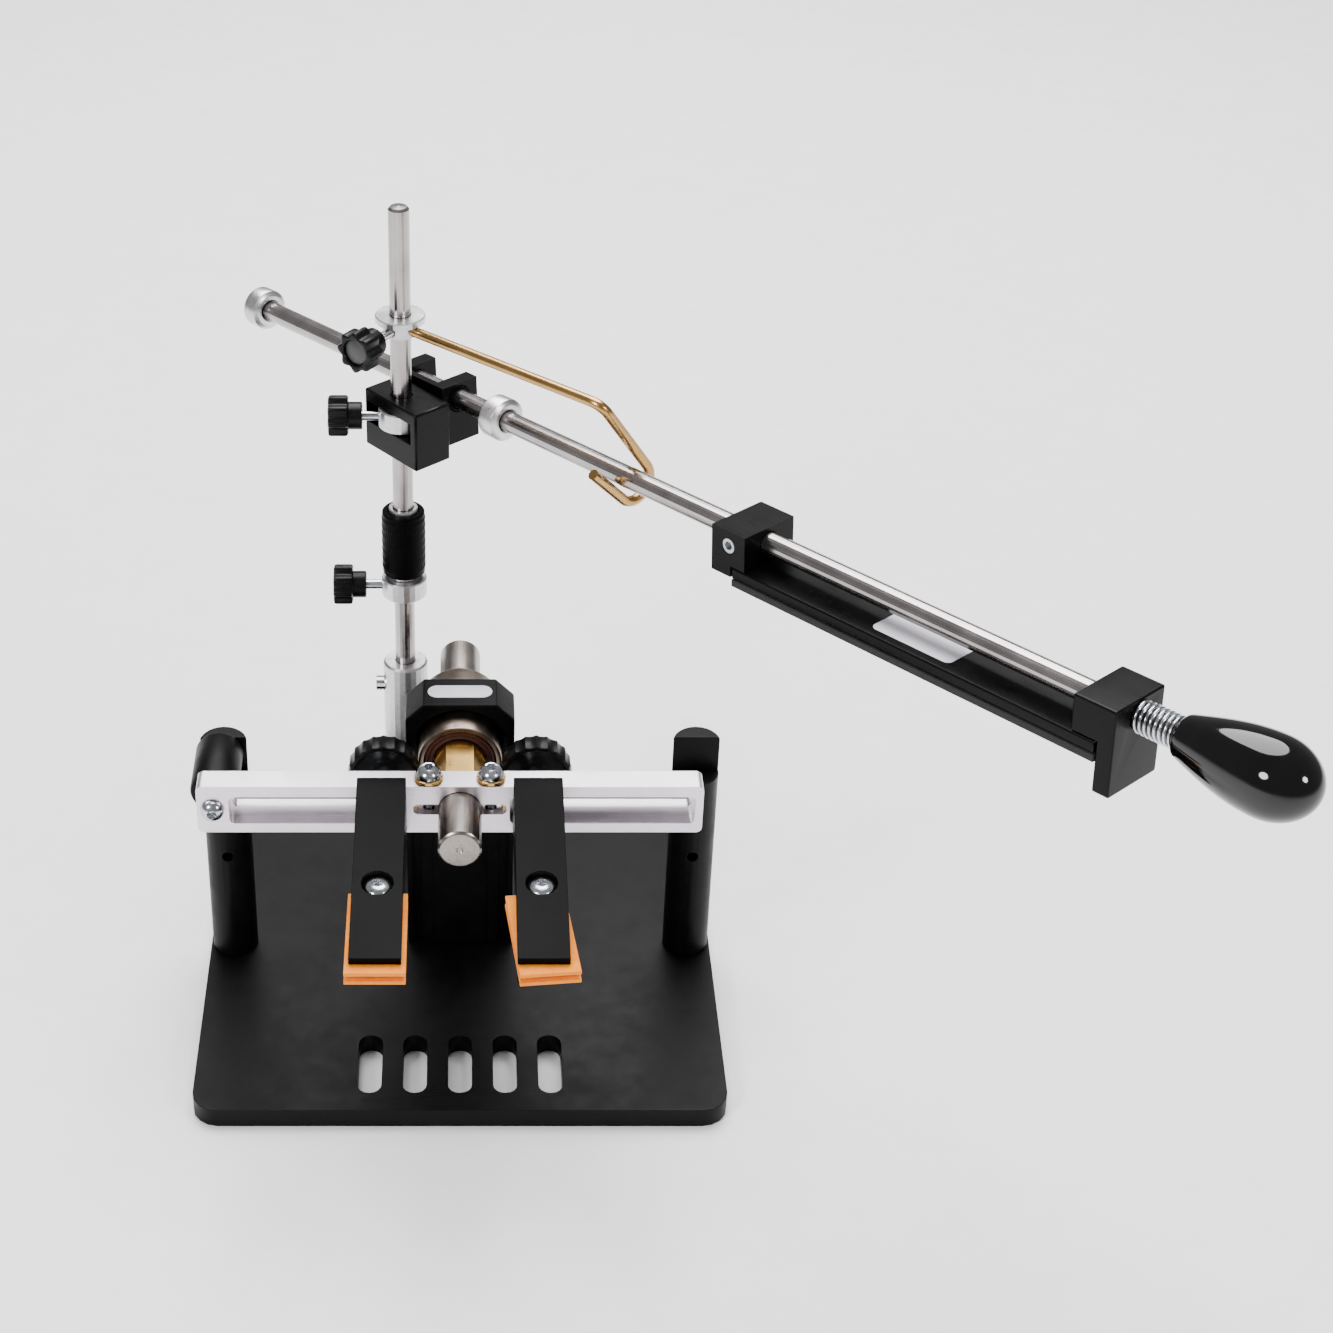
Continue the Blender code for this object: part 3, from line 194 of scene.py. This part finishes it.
# Centreless ground steel: fine rings round the rod that spread its highlight into long streaks
ground_z = surface("ground steel of the column", "#958e8e", "#b3acac", 1.0, (0.2, 0.27), (1.2, 1.2, 90),
                   0.001, (6, 6, 0.35))
ground_arm = surface("ground steel of the guide rod", "#969090", "#b4adad", 1.0, (0.18, 0.25),
                     (120, 1.2, 1.2), 0.001, (0.35, 6, 6), ARM_TURN)
# Turned steel: darker, with the tool's rings round the spindle
ground_y = surface("turned steel of the spindle", "#8a827d", "#a39b95", 1.0, (0.26, 0.34), (1.5, 60, 1.5),
                   0.001, (6, 0.35, 6))
# Bearing steel: darker still, with a brown cast from oil and light oxide
bearing_steel = surface("oiled bearing steel", "#6f6259", "#94877c", 1.0, (0.26, 0.4), (5, 5, 5),
                        0.004, (8, 0.4, 8))
# Zinc plating: bright, slightly blue, a little uneven
zinc = surface("bright zinc plating", "#a9adb2", "#dcdfe4", 1.0, (0.14, 0.26), (2.5, 2.5, 2.5),
               0.006, (0.8, 0.8, 0.8))
# Satin aluminium bar: brushed along its length
brushed_bar = surface("brushed aluminium of the bar", "#d6ced6", "#eae4ea", 1.0, (0.3, 0.4), (60, 0.5, 0.5),
                      0.006, (30, 0.28, 0.28))
# Satin turned aluminium: pale, with soft rings round the collars' axis
satin = surface("satin turned aluminium", "#b9b8ba", "#dcdbde", 1.0, (0.28, 0.4), (4, 4, 0.5),
                0.004, (5, 5, 0.3))
satin_arm = surface("satin aluminium of the arm collars", "#b9b8ba", "#dfdee1", 1.0, (0.26, 0.38),
                    (0.5, 4, 4), 0.004, (0.3, 5, 5), ARM_TURN)
# Turned brass: warm, with fine tool rings
brass = surface("turned brass", "#cfa55c", "#dcb46c", 1.0, (0.26, 0.34), (3, 9, 3), 0.001, (6, 0.4, 6))
# Brass-coloured plated wire: drawn, so its marks run along it
wire_plating = surface("drawn plated wire", "#a8834f", "#bd9660", 1.0, (0.24, 0.3), (30, 1.5, 1.5),
                       turn=ARM_TURN)
# Nitrile seal: dark red, matt
seal = surface("dark red nitrile", "#2a0c09", "#431610", 0.0, (0.45, 0.6), (3, 3, 3), 0.01, (0.5, 0.5, 0.5))
# Suede liner: orange, with a short nap that breaks the light up
suede = surface("orange suede", "#dd7600", "#f58f0a", 0.0, (0.75, 0.95), (1.6, 1.6, 1.6),
                0.12, (0.5, 0.5, 0.5))
# Bonded abrasive: dull grit, drawn coarser than life so that it shows
grit = surface("bonded abrasive", "#17171a", "#2c2c2f", 0.0, (0.8, 1.0), (0.6, 0.6, 0.6),
               0.12, (0.35, 0.35, 0.35))
# Label: light grey vinyl, nearly flat
foil = surface("grey vinyl label", "#c9c6cf", "#d6d3dc", 0.0, (0.35, 0.5), (6, 6, 6))

FINISHES = {
    "base_coat": powder_coat, "anodised_black": anodised, "moulded_plastic": moulded,
    "gloss_handle": phenolic, "polished_steel": ground_z, "bearing_steel": bearing_steel, "zinc": zinc,
    "satin_aluminium": satin, "brass": brass, "red_seal": seal, "liner": suede, "abrasive": grit,
}
OWN_FINISH = {
    "cross_bar": brushed_bar, "spindle": ground_y, "rear_retainer": ground_y, "guide_rod": ground_arm,
    "hook_wire": wire_plating, "end_collar": satin_arm, "stop_collar": satin_arm,
    "front_stone_block": anodised_arm, "rear_stone_block": anodised_arm, "stone_blank": anodised_arm,
    "yoke": anodised_arm, "pivot_block": anodised_arm,
}
for node, item in nodes.items():
    item.data.materials.clear()
    item.data.materials.append(OWN_FINISH.get(node, FINISHES[slot_of[node]]))


# Softened edges on the machined solids

def soften(node, width_mm):
    """Weld a solid's faces together and round its edges."""
    weld = nodes[node].modifiers.new("weld", "WELD")
    weld.merge_threshold = 1e-6
    edge = nodes[node].modifiers.new("edge", "BEVEL")
    edge.width = width_mm * MM
    edge.segments = 2
    edge.limit_method = "ANGLE"
    edge.angle_limit = math.radians(40)
    even = nodes[node].modifiers.new("even", "WEIGHTED_NORMAL")
    even.keep_sharp = False
    even.weight = 100


for node, width in (("base_plate", 0.9), ("bearing_housing", 0.8), ("upright", 0.5), ("left_post", 0.5),
                    ("right_post", 0.5), ("cross_bar", 0.8), ("pivot_block", 0.5), ("yoke", 0.6),
                    ("front_stone_block", 0.7), ("rear_stone_block", 0.8), ("stone_blank", 0.4),
                    ("left_upper_jaw", 0.4), ("right_upper_jaw", 0.4), ("left_lower_jaw", 0.4),
                    ("right_lower_jaw", 0.4)):
    soften(node, width)


# Shapes, in millimetres

TURNS = {
    "X": Matrix(((0, 0, 1, 0), (1, 0, 0, 0), (0, 1, 0, 0), (0, 0, 0, 1))),
    "Y": Matrix(((0, 1, 0, 0), (0, 0, 1, 0), (1, 0, 0, 0), (0, 0, 0, 1))),
    "Z": Matrix.Identity(4),
}


def turned(profile, axis="Z", steps=64):
    """Spin (radius, place along the axis) points into a solid, or a ring where no point lies on the axis."""
    shape = bmesh.new()
    points = [shape.verts.new((radius, 0.0, place)) for radius, place in profile]
    edges = [shape.edges.new(pair) for pair in zip(points, points[1:])]
    if profile[0][0] > 0.0:
        edges.append(shape.edges.new((points[-1], points[0])))
    bmesh.ops.spin(shape, geom=points + edges, cent=(0, 0, 0), axis=(0, 0, 1), angle=2 * math.pi, steps=steps,
                   use_merge=True)
    bmesh.ops.remove_doubles(shape, verts=shape.verts, dist=1e-4)
    bmesh.ops.recalc_face_normals(shape, faces=shape.faces)
    bmesh.ops.transform(shape, verts=shape.verts, matrix=TURNS[axis])
    return shape


def waved(shape, axis, low, high, count, depth, sharpness=1.0):
    """Press count grooves into the part of a turned shape whose radius lies between low and high."""
    back = TURNS[axis].inverted()
    for vert in shape.verts:
        local = back @ vert.co
        radius = math.hypot(local.x, local.y)
        if low < radius < high:
            angle = math.atan2(local.y, local.x)
            wave = (0.5 - 0.5 * math.cos(count * angle)) ** sharpness
            scale = 1 - depth * wave / radius
            vert.co = TURNS[axis] @ Vector((local.x * scale, local.y * scale, local.z))
    return shape


def tablet(length, width, thickness, corner, edge):
    """A thin plate with round corners and softened rims, centred, standing on Z = 0."""
    shape = bmesh.new()
    bmesh.ops.create_cube(shape, size=1.0)
    bmesh.ops.scale(shape, verts=shape.verts, vec=(length, width, thickness))
    bmesh.ops.translate(shape, verts=shape.verts, vec=(0, 0, thickness / 2))
    uprights = [item for item in shape.edges if abs(item.verts[0].co.z - item.verts[1].co.z) > thickness / 2]
    bmesh.ops.bevel(shape, geom=uprights, offset=corner, affect="EDGES", segments=8, profile=0.5, material=-1)
    rims = [item for item in shape.edges if min(vert.co.z for vert in item.verts) > thickness * 0.9]
    bmesh.ops.bevel(shape, geom=rims, offset=edge, affect="EDGES", segments=2, profile=0.5, material=-1)
    return shape


def show(name, shape, on, place=Matrix.Identity(4), finish=None, slot=None, stands_for=(), sharp=35):
    """Add a piece that rides with the body of a CAD node, and may stand for some CAD nodes."""
    bmesh.ops.transform(shape, verts=shape.verts, matrix=Matrix.Scale(MM, 4) @ place)
    mesh = bpy.data.meshes.new(name)
    shape.to_mesh(mesh)
    shape.free()
    mesh.shade_smooth()
    mesh.set_sharp_from_angle(angle=math.radians(sharp))
    item = bpy.data.objects.new(name, mesh)
    bpy.context.scene.collection.objects.link(item)
    slot = slot or slot_of[on]
    mesh.materials.append(finish or FINISHES[slot])
    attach(item, nodes[on]["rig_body"])
    if stands_for:
        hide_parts(*stands_for)
    return item


def middle(node):
    """The middle of a CAD node's box, in millimetres."""
    low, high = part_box(node)
    return (low + high) / 2 / MM


def span(node, axis):
    """The lowest and highest place of a CAD node along an axis, in millimetres."""
    low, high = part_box(node)
    return low["XYZ".index(axis)] / MM, high["XYZ".index(axis)] / MM


# Places: the turning axis, the column's axis and the guide rod, whose own X runs along it to the handle
ARM_OFFSET = 18.0
ARM_HEIGHT = 212.2
HANDLE_START = 345.4
column_low, column_high = [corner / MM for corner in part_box("column_rod")]
COLUMN = Matrix.Translation(((column_low.x + column_high.x) / 2, (column_low.y + column_high.y) / 2, 0))
ARM = (COLUMN @ Matrix.Rotation(ARM_AZIMUTH, 4, "Z") @ Matrix.Translation((0, ARM_OFFSET, ARM_HEIGHT))
       @ Matrix.Rotation(-ARM_RISE, 4, "Y"))
AXIS_HEIGHT = middle("spindle").z
TURNING_AXIS = Matrix.Translation((0, 0, AXIS_HEIGHT))


# Bearing, seal and spindle

low, high = span("bearing_shell", "Y")
show("bearing_outer_ring",
     turned([(13.6, low + 0.5), (13.9, low + 0.1), (14.3, low), (15.3, low), (15.8, low + 0.2),
             (16.0, low + 0.7), (16.0, high - 0.7), (15.8, high - 0.2), (15.3, high), (13.6, high)], "Y", 96),
     "bearing_shell", TURNING_AXIS, stands_for=["bearing_shell"])
low, high = span("front_seal", "Y")
show("bearing_seal",
     turned([(10.1, low + 0.7), (10.6, low + 0.3), (11.5, low + 0.6), (12.4, low + 0.1), (13.3, low + 0.2),
             (13.3, high), (10.1, high)], "Y", 96),
     "front_seal", TURNING_AXIS, stands_for=["front_seal"])
low, high = span("spindle", "Y")
groove = -11.6     # a fine turned line round the spindle
show("turned_spindle",
     turned([(0, low + 0.35), (0.9, low + 0.35), (1.3, low), (6.9, low), (7.4, low + 0.2), (8.0, low + 0.9),
             (8.0, groove - 0.4), (7.9, groove), (8.0, groove + 0.4), (8.0, high - 1.0), (7.2, high),
             (0, high)], "Y", 96),
     "spindle", TURNING_AXIS, ground_y, stands_for=["spindle"])

# Stop rod
low, high = span("stop_rod", "Y")
show("turned_stop_rod",
     turned([(0, low), (7.5, low), (8.6, low + 0.6), (9.0, low + 1.5), (9.0, high - 1.2), (8.7, high - 0.4),
             (7.9, high), (0, high)], "Y", 72),
     "stop_rod", Matrix.Translation((middle("stop_rod").x, 0, AXIS_HEIGHT)), stands_for=["stop_rod"])


# Domed screws in the bar, the clamp and the jaws

def button_screw(radius, height, socket, stem_radius, stem_end):
    """A domed screw, head upwards from Z = 0, with a six-lobed socket in its head."""
    dome = [(radius * math.sin(math.radians(turn)), height * math.cos(math.radians(turn)))
            for turn in (25, 40, 55, 70, 84)]
    recess = [(0, height * 0.25), (socket * 0.9, height * 0.3), (socket, height * 0.8),
              (socket + 0.15, height * 0.93)]
    stem = [(radius, 0.0), (stem_radius, 0.0), (stem_radius, stem_end), (0, stem_end)]
    return waved(turned(recess + dome + stem, "Z", 72), "Z", socket * 0.85, socket * 1.01, 6, socket * 0.22)


SCREW_STEM = 2.0
SEAT_GAP = 0.3
TO_FRONT = Matrix.Rotation(math.radians(90), 4, "X")
at = middle("stop_rod_screw")
bar_front = span("cross_bar", "Y")[0]
show("stop_rod_button_screw", button_screw(4.4, 3.3, 1.7, SCREW_STEM, -17.0), "stop_rod_screw",
     Matrix.Translation((at.x, bar_front - SEAT_GAP, at.z)) @ TO_FRONT, stands_for=["stop_rod_screw"])
for side in ("left", "right"):
    at = middle(f"{side}_clamp_screw")
    bush_top = span(f"{side}_brass_bush", "Z")[1]
    show(f"{side}_clamp_button_screw", button_screw(4.8, 4.1, 2.1, SCREW_STEM, -20.0), f"{side}_clamp_screw",
         Matrix.Translation((at.x, at.y, bush_top + SEAT_GAP)), stands_for=[f"{side}_clamp_screw"])
    at = middle(f"{side}_jaw_screw")
    low, high = span(f"{side}_jaw_screw", "Z")
    head = 2.9
    show(f"{side}_jaw_button_screw", button_screw(5.2, head, 2.0, SCREW_STEM, low - high + head),
         f"{side}_jaw_screw", Matrix.Translation((at.x, at.y, high - head)), stands_for=[f"{side}_jaw_screw"])

# Lock knobs with broad ribs round the rim and a dished front, each on its plated stud
KNOB_DEPTH = 8.5
BEHIND_BAR = span("cross_bar", "Y")[1] + SEAT_GAP
for side in ("left", "right"):
    knob_node = f"{side}_lock_knob"
    place = Matrix.Translation((middle(knob_node).x, 0, AXIS_HEIGHT))
    left_edge, right_edge = span(knob_node, "X")
    rim = (right_edge - left_edge) / 2
    low, high = span(knob_node, "Y")
    front = high - KNOB_DEPTH
    knob = turned([(2.1, front + 3.5), (5.5, front + 3.5), (rim - 3.4, front + 3.5), (rim - 2.7, front + 3.1),
                   (rim - 2.4, front + 0.4), (rim - 2.0, front), (rim - 1.0, front), (rim - 0.3, front + 0.3),
                   (rim, front + 1.0), (rim, high - 1.4), (rim - 0.3, high - 0.5), (rim - 1.0, high),
                   (7.0, high), (5.5, high - 0.6), (2.1, high - 0.6)], "Y", 160)
    show(f"{side}_ribbed_knob", waved(knob, "Y", rim - 1.1, rim + 0.1, 20, 0.55, 0.5), knob_node, place,
         stands_for=[knob_node])
    stud = turned([(0, low), (1.8, low), (2.0, low + 0.3), (2.0, BEHIND_BAR), (5.3, BEHIND_BAR),
                   (5.5, BEHIND_BAR + 0.2), (5.5, front + 3.2), (2.0, front + 3.2), (2.0, high - 0.7),
                   (0, high - 0.7)], "Y", 40)
    show(f"{side}_knob_stud", stud, knob_node, place, zinc, "zinc")


# Thumbscrews: plated stem, plastic hub and lobed head with a cap set into it

def thumbscrew(name, height, azimuth, cap_finish):
    """A thumbscrew that points at the column's axis; its pieces are shaped with the axis at X = 0."""
    node = f"{name}_thumbscrew"
    place = COLUMN @ Matrix.Translation((0, 0, height)) @ Matrix.Rotation(math.radians(azimuth - 180), 4, "Z")
    head = turned([(5.0, -27.4), (5.3, -28.0), (5.9, -28.2), (7.4, -28.2), (8.0, -27.9), (8.2, -27.2),
                   (8.2, -21.6), (8.0, -20.9), (7.5, -20.6), (5.6, -20.6), (5.35, -20.3), (5.35, -15.6),
                   (5.0, -15.2), (2.1, -15.2), (2.1, -26.8), (5.0, -26.8)], "X", 128)
    show(f"{name}_thumb_head", waved(head, "X", 7.3, 8.3, 8, 1.5), node, place, stands_for=[node])
    cap = turned([(0, -27.3), (4.3, -27.2), (4.8, -26.9), (4.8, -26.2), (0, -26.2)], "X", 48)
    show(f"{name}_thumb_cap", cap, node, place, cap_finish)
    stem = turned([(0, -26.0), (1.9, -26.0), (1.9, -4.6), (1.6, -4.3), (0, -4.3)], "X", 32)
    show(f"{name}_thumb_stem", stem, node, place, zinc, "zinc")


thumbscrew("lower", 130.5, 180, moulded)
thumbscrew("block", 206.5, 180, moulded)
thumbscrew("hook", 244.2, -126, cap_grey)

# Adjuster nut: smooth collars at both ends of a diamond knurl
NUT_END, KNURL_RADIUS, KNURL_STEPS = 8.4, 8.7, 24
KNURL_COUNT, KNURL_SLANT, KNURL_DEPTH = 48, 0.12, 0.18
low, high = span("adjuster_nut", "Z")
rows = [(8.0, low), (NUT_END, low + 0.4), (NUT_END, low + 2.0), (KNURL_RADIUS, low + 2.3)]
rows += [(KNURL_RADIUS, low + 2.3 + (high - low - 5.0) * step / KNURL_STEPS)
         for step in range(1, KNURL_STEPS + 1)]
rows += [(NUT_END, high - 2.4), (NUT_END, high - 0.5), (8.0, high)]
nut = turned([(6.0, low + 0.2)] + rows + [(6.3, high), (6.0, high - 0.3)], "Z", 192)
for vert in nut.verts:
    radius = math.hypot(vert.co.x, vert.co.y)
    if radius > KNURL_RADIUS - 0.1:
        angle = math.atan2(vert.co.y, vert.co.x)
        slant = vert.co.z * KNURL_SLANT
        rising = max(0.0, math.cos(KNURL_COUNT * (angle + slant)))
        falling = max(0.0, math.cos(KNURL_COUNT * (angle - slant)))
        vert.co.xy *= 1 - KNURL_DEPTH * (1 - rising * falling) / radius
show("knurled_nut", nut, "adjuster_nut", COLUMN, stands_for=["adjuster_nut"])

# Spring of round wire between the rear block and the handle
WIRE_RADIUS, COIL_RADIUS, COILS, STEPS_A_COIL = 0.55, 4.9, 8, 32
REAR_BLOCK_FACE = 329.7
WIRE_INSET = 0.8
spring_start, spring_end = REAR_BLOCK_FACE + WIRE_INSET, HANDLE_START - WIRE_INSET
spring = bmesh.new()
bmesh.ops.create_circle(spring, cap_ends=False, radius=WIRE_RADIUS, segments=12,
                        matrix=Matrix.Translation((COIL_RADIUS, 0, spring_start)) @ TO_FRONT)
steps = COILS * STEPS_A_COIL
bmesh.ops.spin(spring, geom=spring.verts[:] + spring.edges[:], cent=(0, 0, 0), axis=(0, 0, 1),
               angle=COILS * 2 * math.pi, steps=steps, dvec=(0, 0, (spring_end - spring_start) / steps),
               use_merge=False)
bmesh.ops.holes_fill(spring, edges=spring.edges, sides=12)
bmesh.ops.recalc_face_normals(spring, faces=spring.faces)
bmesh.ops.transform(spring, verts=spring.verts, matrix=TURNS["X"])
coil = show("coil_spring", spring, "holder_spring", ARM, stands_for=["holder_spring"], sharp=60)
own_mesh(coil)

# Hook: one drawn wire with an open eye across the guide rod. Points across the rod are (sideways, upwards)
BEND, TIP = Vector((-9.1, 29.9)), Vector((-13.8, 4.6))
EYE, EYE_RADIUS, EYE_STEPS = Vector((6.0, -5.0)), 7.6, 36
HOOK_REACH = 104.0
HOOK_WIRE_RADIUS = 2.0
BEND_RADIUS, BEND_STEPS = 6.0, 12
ROOT_RADIUS, ROOT_BELOW_TOP = 6.8, 4.8


def tangent_turn(point, side):
    """Where a straight wire from a point runs into the eye, as an angle."""
    away = point - EYE
    return math.atan2(away.y, away.x) + side * math.acos(EYE_RADIUS / away.length)


first, last = tangent_turn(BEND, -1), tangent_turn(TIP, 1)
if last > first:
    last -= 2 * math.pi
eye = [(EYE.x + EYE_RADIUS * math.cos(turn), EYE.y + EYE_RADIUS * math.sin(turn))
       for turn in [first + (last - first) * step / EYE_STEPS for step in range(EYE_STEPS + 1)]]
across = [ARM @ Vector((HOOK_REACH, *point)) for point in [tuple(BEND)] + eye + [tuple(TIP)]]
bend = across[0]
outward = (bend - COLUMN.translation).xy.normalized()
root = Vector((COLUMN.translation.x + ROOT_RADIUS * outward.x, COLUMN.translation.y + ROOT_RADIUS * outward.y,
               span("hook_collar", "Z")[1] - ROOT_BELOW_TOP))
into, out = (root - bend).normalized(), (across[1] - bend).normalized()
reach = BEND_RADIUS / math.tan(into.angle(out) / 2)
corner = [(1 - share) ** 2 * (bend + into * reach) + 2 * share * (1 - share) * bend
          + share ** 2 * (bend + out * reach)
          for share in [step / BEND_STEPS for step in range(BEND_STEPS + 1)]]
path = [root] + corner + across[1:]
curve = bpy.data.curves.new("hook_path", "CURVE")
curve.dimensions = "3D"
curve.bevel_depth = HOOK_WIRE_RADIUS
curve.bevel_resolution = 6
curve.use_fill_caps = True
line = curve.splines.new("POLY")
line.points.add(len(path) - 1)
for point, spot in zip(line.points, path):
    point.co = (*spot, 1.0)
curve_item = bpy.data.objects.new("hook_path", curve)
wire = bmesh.new()
wire.from_mesh(curve_item.to_mesh())
bpy.data.objects.remove(curve_item)
bpy.data.curves.remove(curve)
bmesh.ops.recalc_face_normals(wire, faces=wire.faces)
show("drawn_hook_wire", wire, "hook_wire", finish=wire_plating, stands_for=["hook_wire"], sharp=60)

# Handle: it swells along a quarter sine from its neck, and ends in a quarter ellipse
NECK, WIDEST, SWELL, HANDLE_LENGTH = 7.2, 13.0, 30.0, 45.8
SWELL_STEPS, END_STEPS = 24, 16
LIP = 0.9
profile = [(0, HANDLE_START + 1.5), (4.3, HANDLE_START + 1.5), (4.6, HANDLE_START),
           (NECK - LIP, HANDLE_START), (NECK - 0.3, HANDLE_START + 0.3)]
for step in range(SWELL_STEPS + 1):
    share = step / SWELL_STEPS
    profile.append((NECK + (WIDEST - NECK) * math.sin(share * math.pi / 2),
                    HANDLE_START + LIP + (SWELL - LIP) * share))
for step in range(1, END_STEPS + 1):
    turn = step / END_STEPS * math.pi / 2
    profile.append((WIDEST * math.cos(turn), HANDLE_START + SWELL + (HANDLE_LENGTH - SWELL) * math.sin(turn)))
profile[-1] = (0, HANDLE_START + HANDLE_LENGTH)
show("polished_handle", turned(profile, "X", 96), "handle", ARM, stands_for=["handle"], sharp=60)


# Collars on the guide rod: turned, with a cone at the front and a recess round the rod

def arm_collar(name, node, start):
    """A collar from its start along the rod, with a set screw in its side."""
    ring = turned([(4.3, start + 0.3), (4.6, start), (7.7, start), (8.1, start + 0.15), (8.25, start + 0.5),
                   (8.25, start + 6.5), (8.1, start + 6.9), (6.6, start + 7.9), (6.2, start + 8.0),
                   (4.8, start + 8.0), (4.3, start + 7.6)], "X", 80)
    show(name, ring, node, ARM, satin_arm, stands_for=[node], sharp=22)
    screw = turned([(0, 7.7), (1.0, 7.7), (1.15, 8.1), (1.5, 8.15), (1.6, 8.0), (1.6, 6.4), (0, 6.4)],
                   "Z", 24)
    side = Matrix.Translation((start + 4, 0, 0)) @ Matrix.Rotation(math.radians(35), 4, "X")
    show(name + "_set_screw", screw, node, ARM @ side, anodised, "anodised_black")


arm_collar("arm_end_collar", "end_collar", -117.5)
arm_collar("arm_stop_collar", "stop_collar", 33.8)

# Vinyl labels, blank
at = middle("bearing_housing")
show("housing_label", tablet(24.5, 8.0, 0.25, 3.9, 0.08), "bearing_housing",
     Matrix.Translation((at.x, at.y, span("bearing_housing", "Z")[1])), foil, "satin_aluminium")
show("stone_label", tablet(33.0, 17.5, 0.2, 2.4, 0.06), "stone_blank",
     ARM @ Matrix.Translation((247.0, 0.6, -7.6)), foil, "satin_aluminium")


# Floor and studio light

FLOOR_DROP = 0.0003    # metres, so that the base's underside and the floor don't share a plane
floor = bmesh.new()
bmesh.ops.create_grid(floor, x_segments=1, y_segments=1, size=6.0)
floor_mesh = bpy.data.meshes.new("studio_floor")
floor.to_mesh(floor_mesh)
floor.free()
studio_floor = bpy.data.objects.new("studio_floor", floor_mesh)
studio_floor.location.z = -FLOOR_DROP
bpy.context.scene.collection.objects.link(studio_floor)
floor_mesh.materials.append(surface("pale studio paper", "#f6f6f6", "#fbfbfb", 0.0, (0.8, 0.9), (40, 40, 40)))
studio_floor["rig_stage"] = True

world = bpy.data.worlds.new("studio")
world.use_nodes = True
background = world.node_tree.nodes["Background"]
background.inputs["Color"].default_value = (1.0, 1.0, 1.0, 1.0)
background.inputs["Strength"].default_value = 0.32
bpy.context.scene.world = world


def soft_box(name, place, target, size, power):
    """A round lamp that faces a point, all in metres and watts."""
    lamp = bpy.data.lights.new(name, "AREA")
    lamp.shape = "DISK"
    lamp.size = size
    lamp.energy = power
    item = bpy.data.objects.new(name, lamp)
    item.location = place
    item.rotation_euler = (Vector(target) - Vector(place)).to_track_quat("-Z", "Y").to_euler()
    bpy.context.scene.collection.objects.link(item)


soft_box("overhead", (0.1, 0.8, 1.8), (0.1, -0.1, 0.0), 1.8, 95.0)
soft_box("front_left", (-0.9, -1.0, 1.0), (0.0, 0.0, 0.12), 0.45, 18.0)
soft_box("front_right", (1.1, -0.9, 0.9), (0.1, 0.0, 0.15), 0.3, 9.0)

low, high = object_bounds()
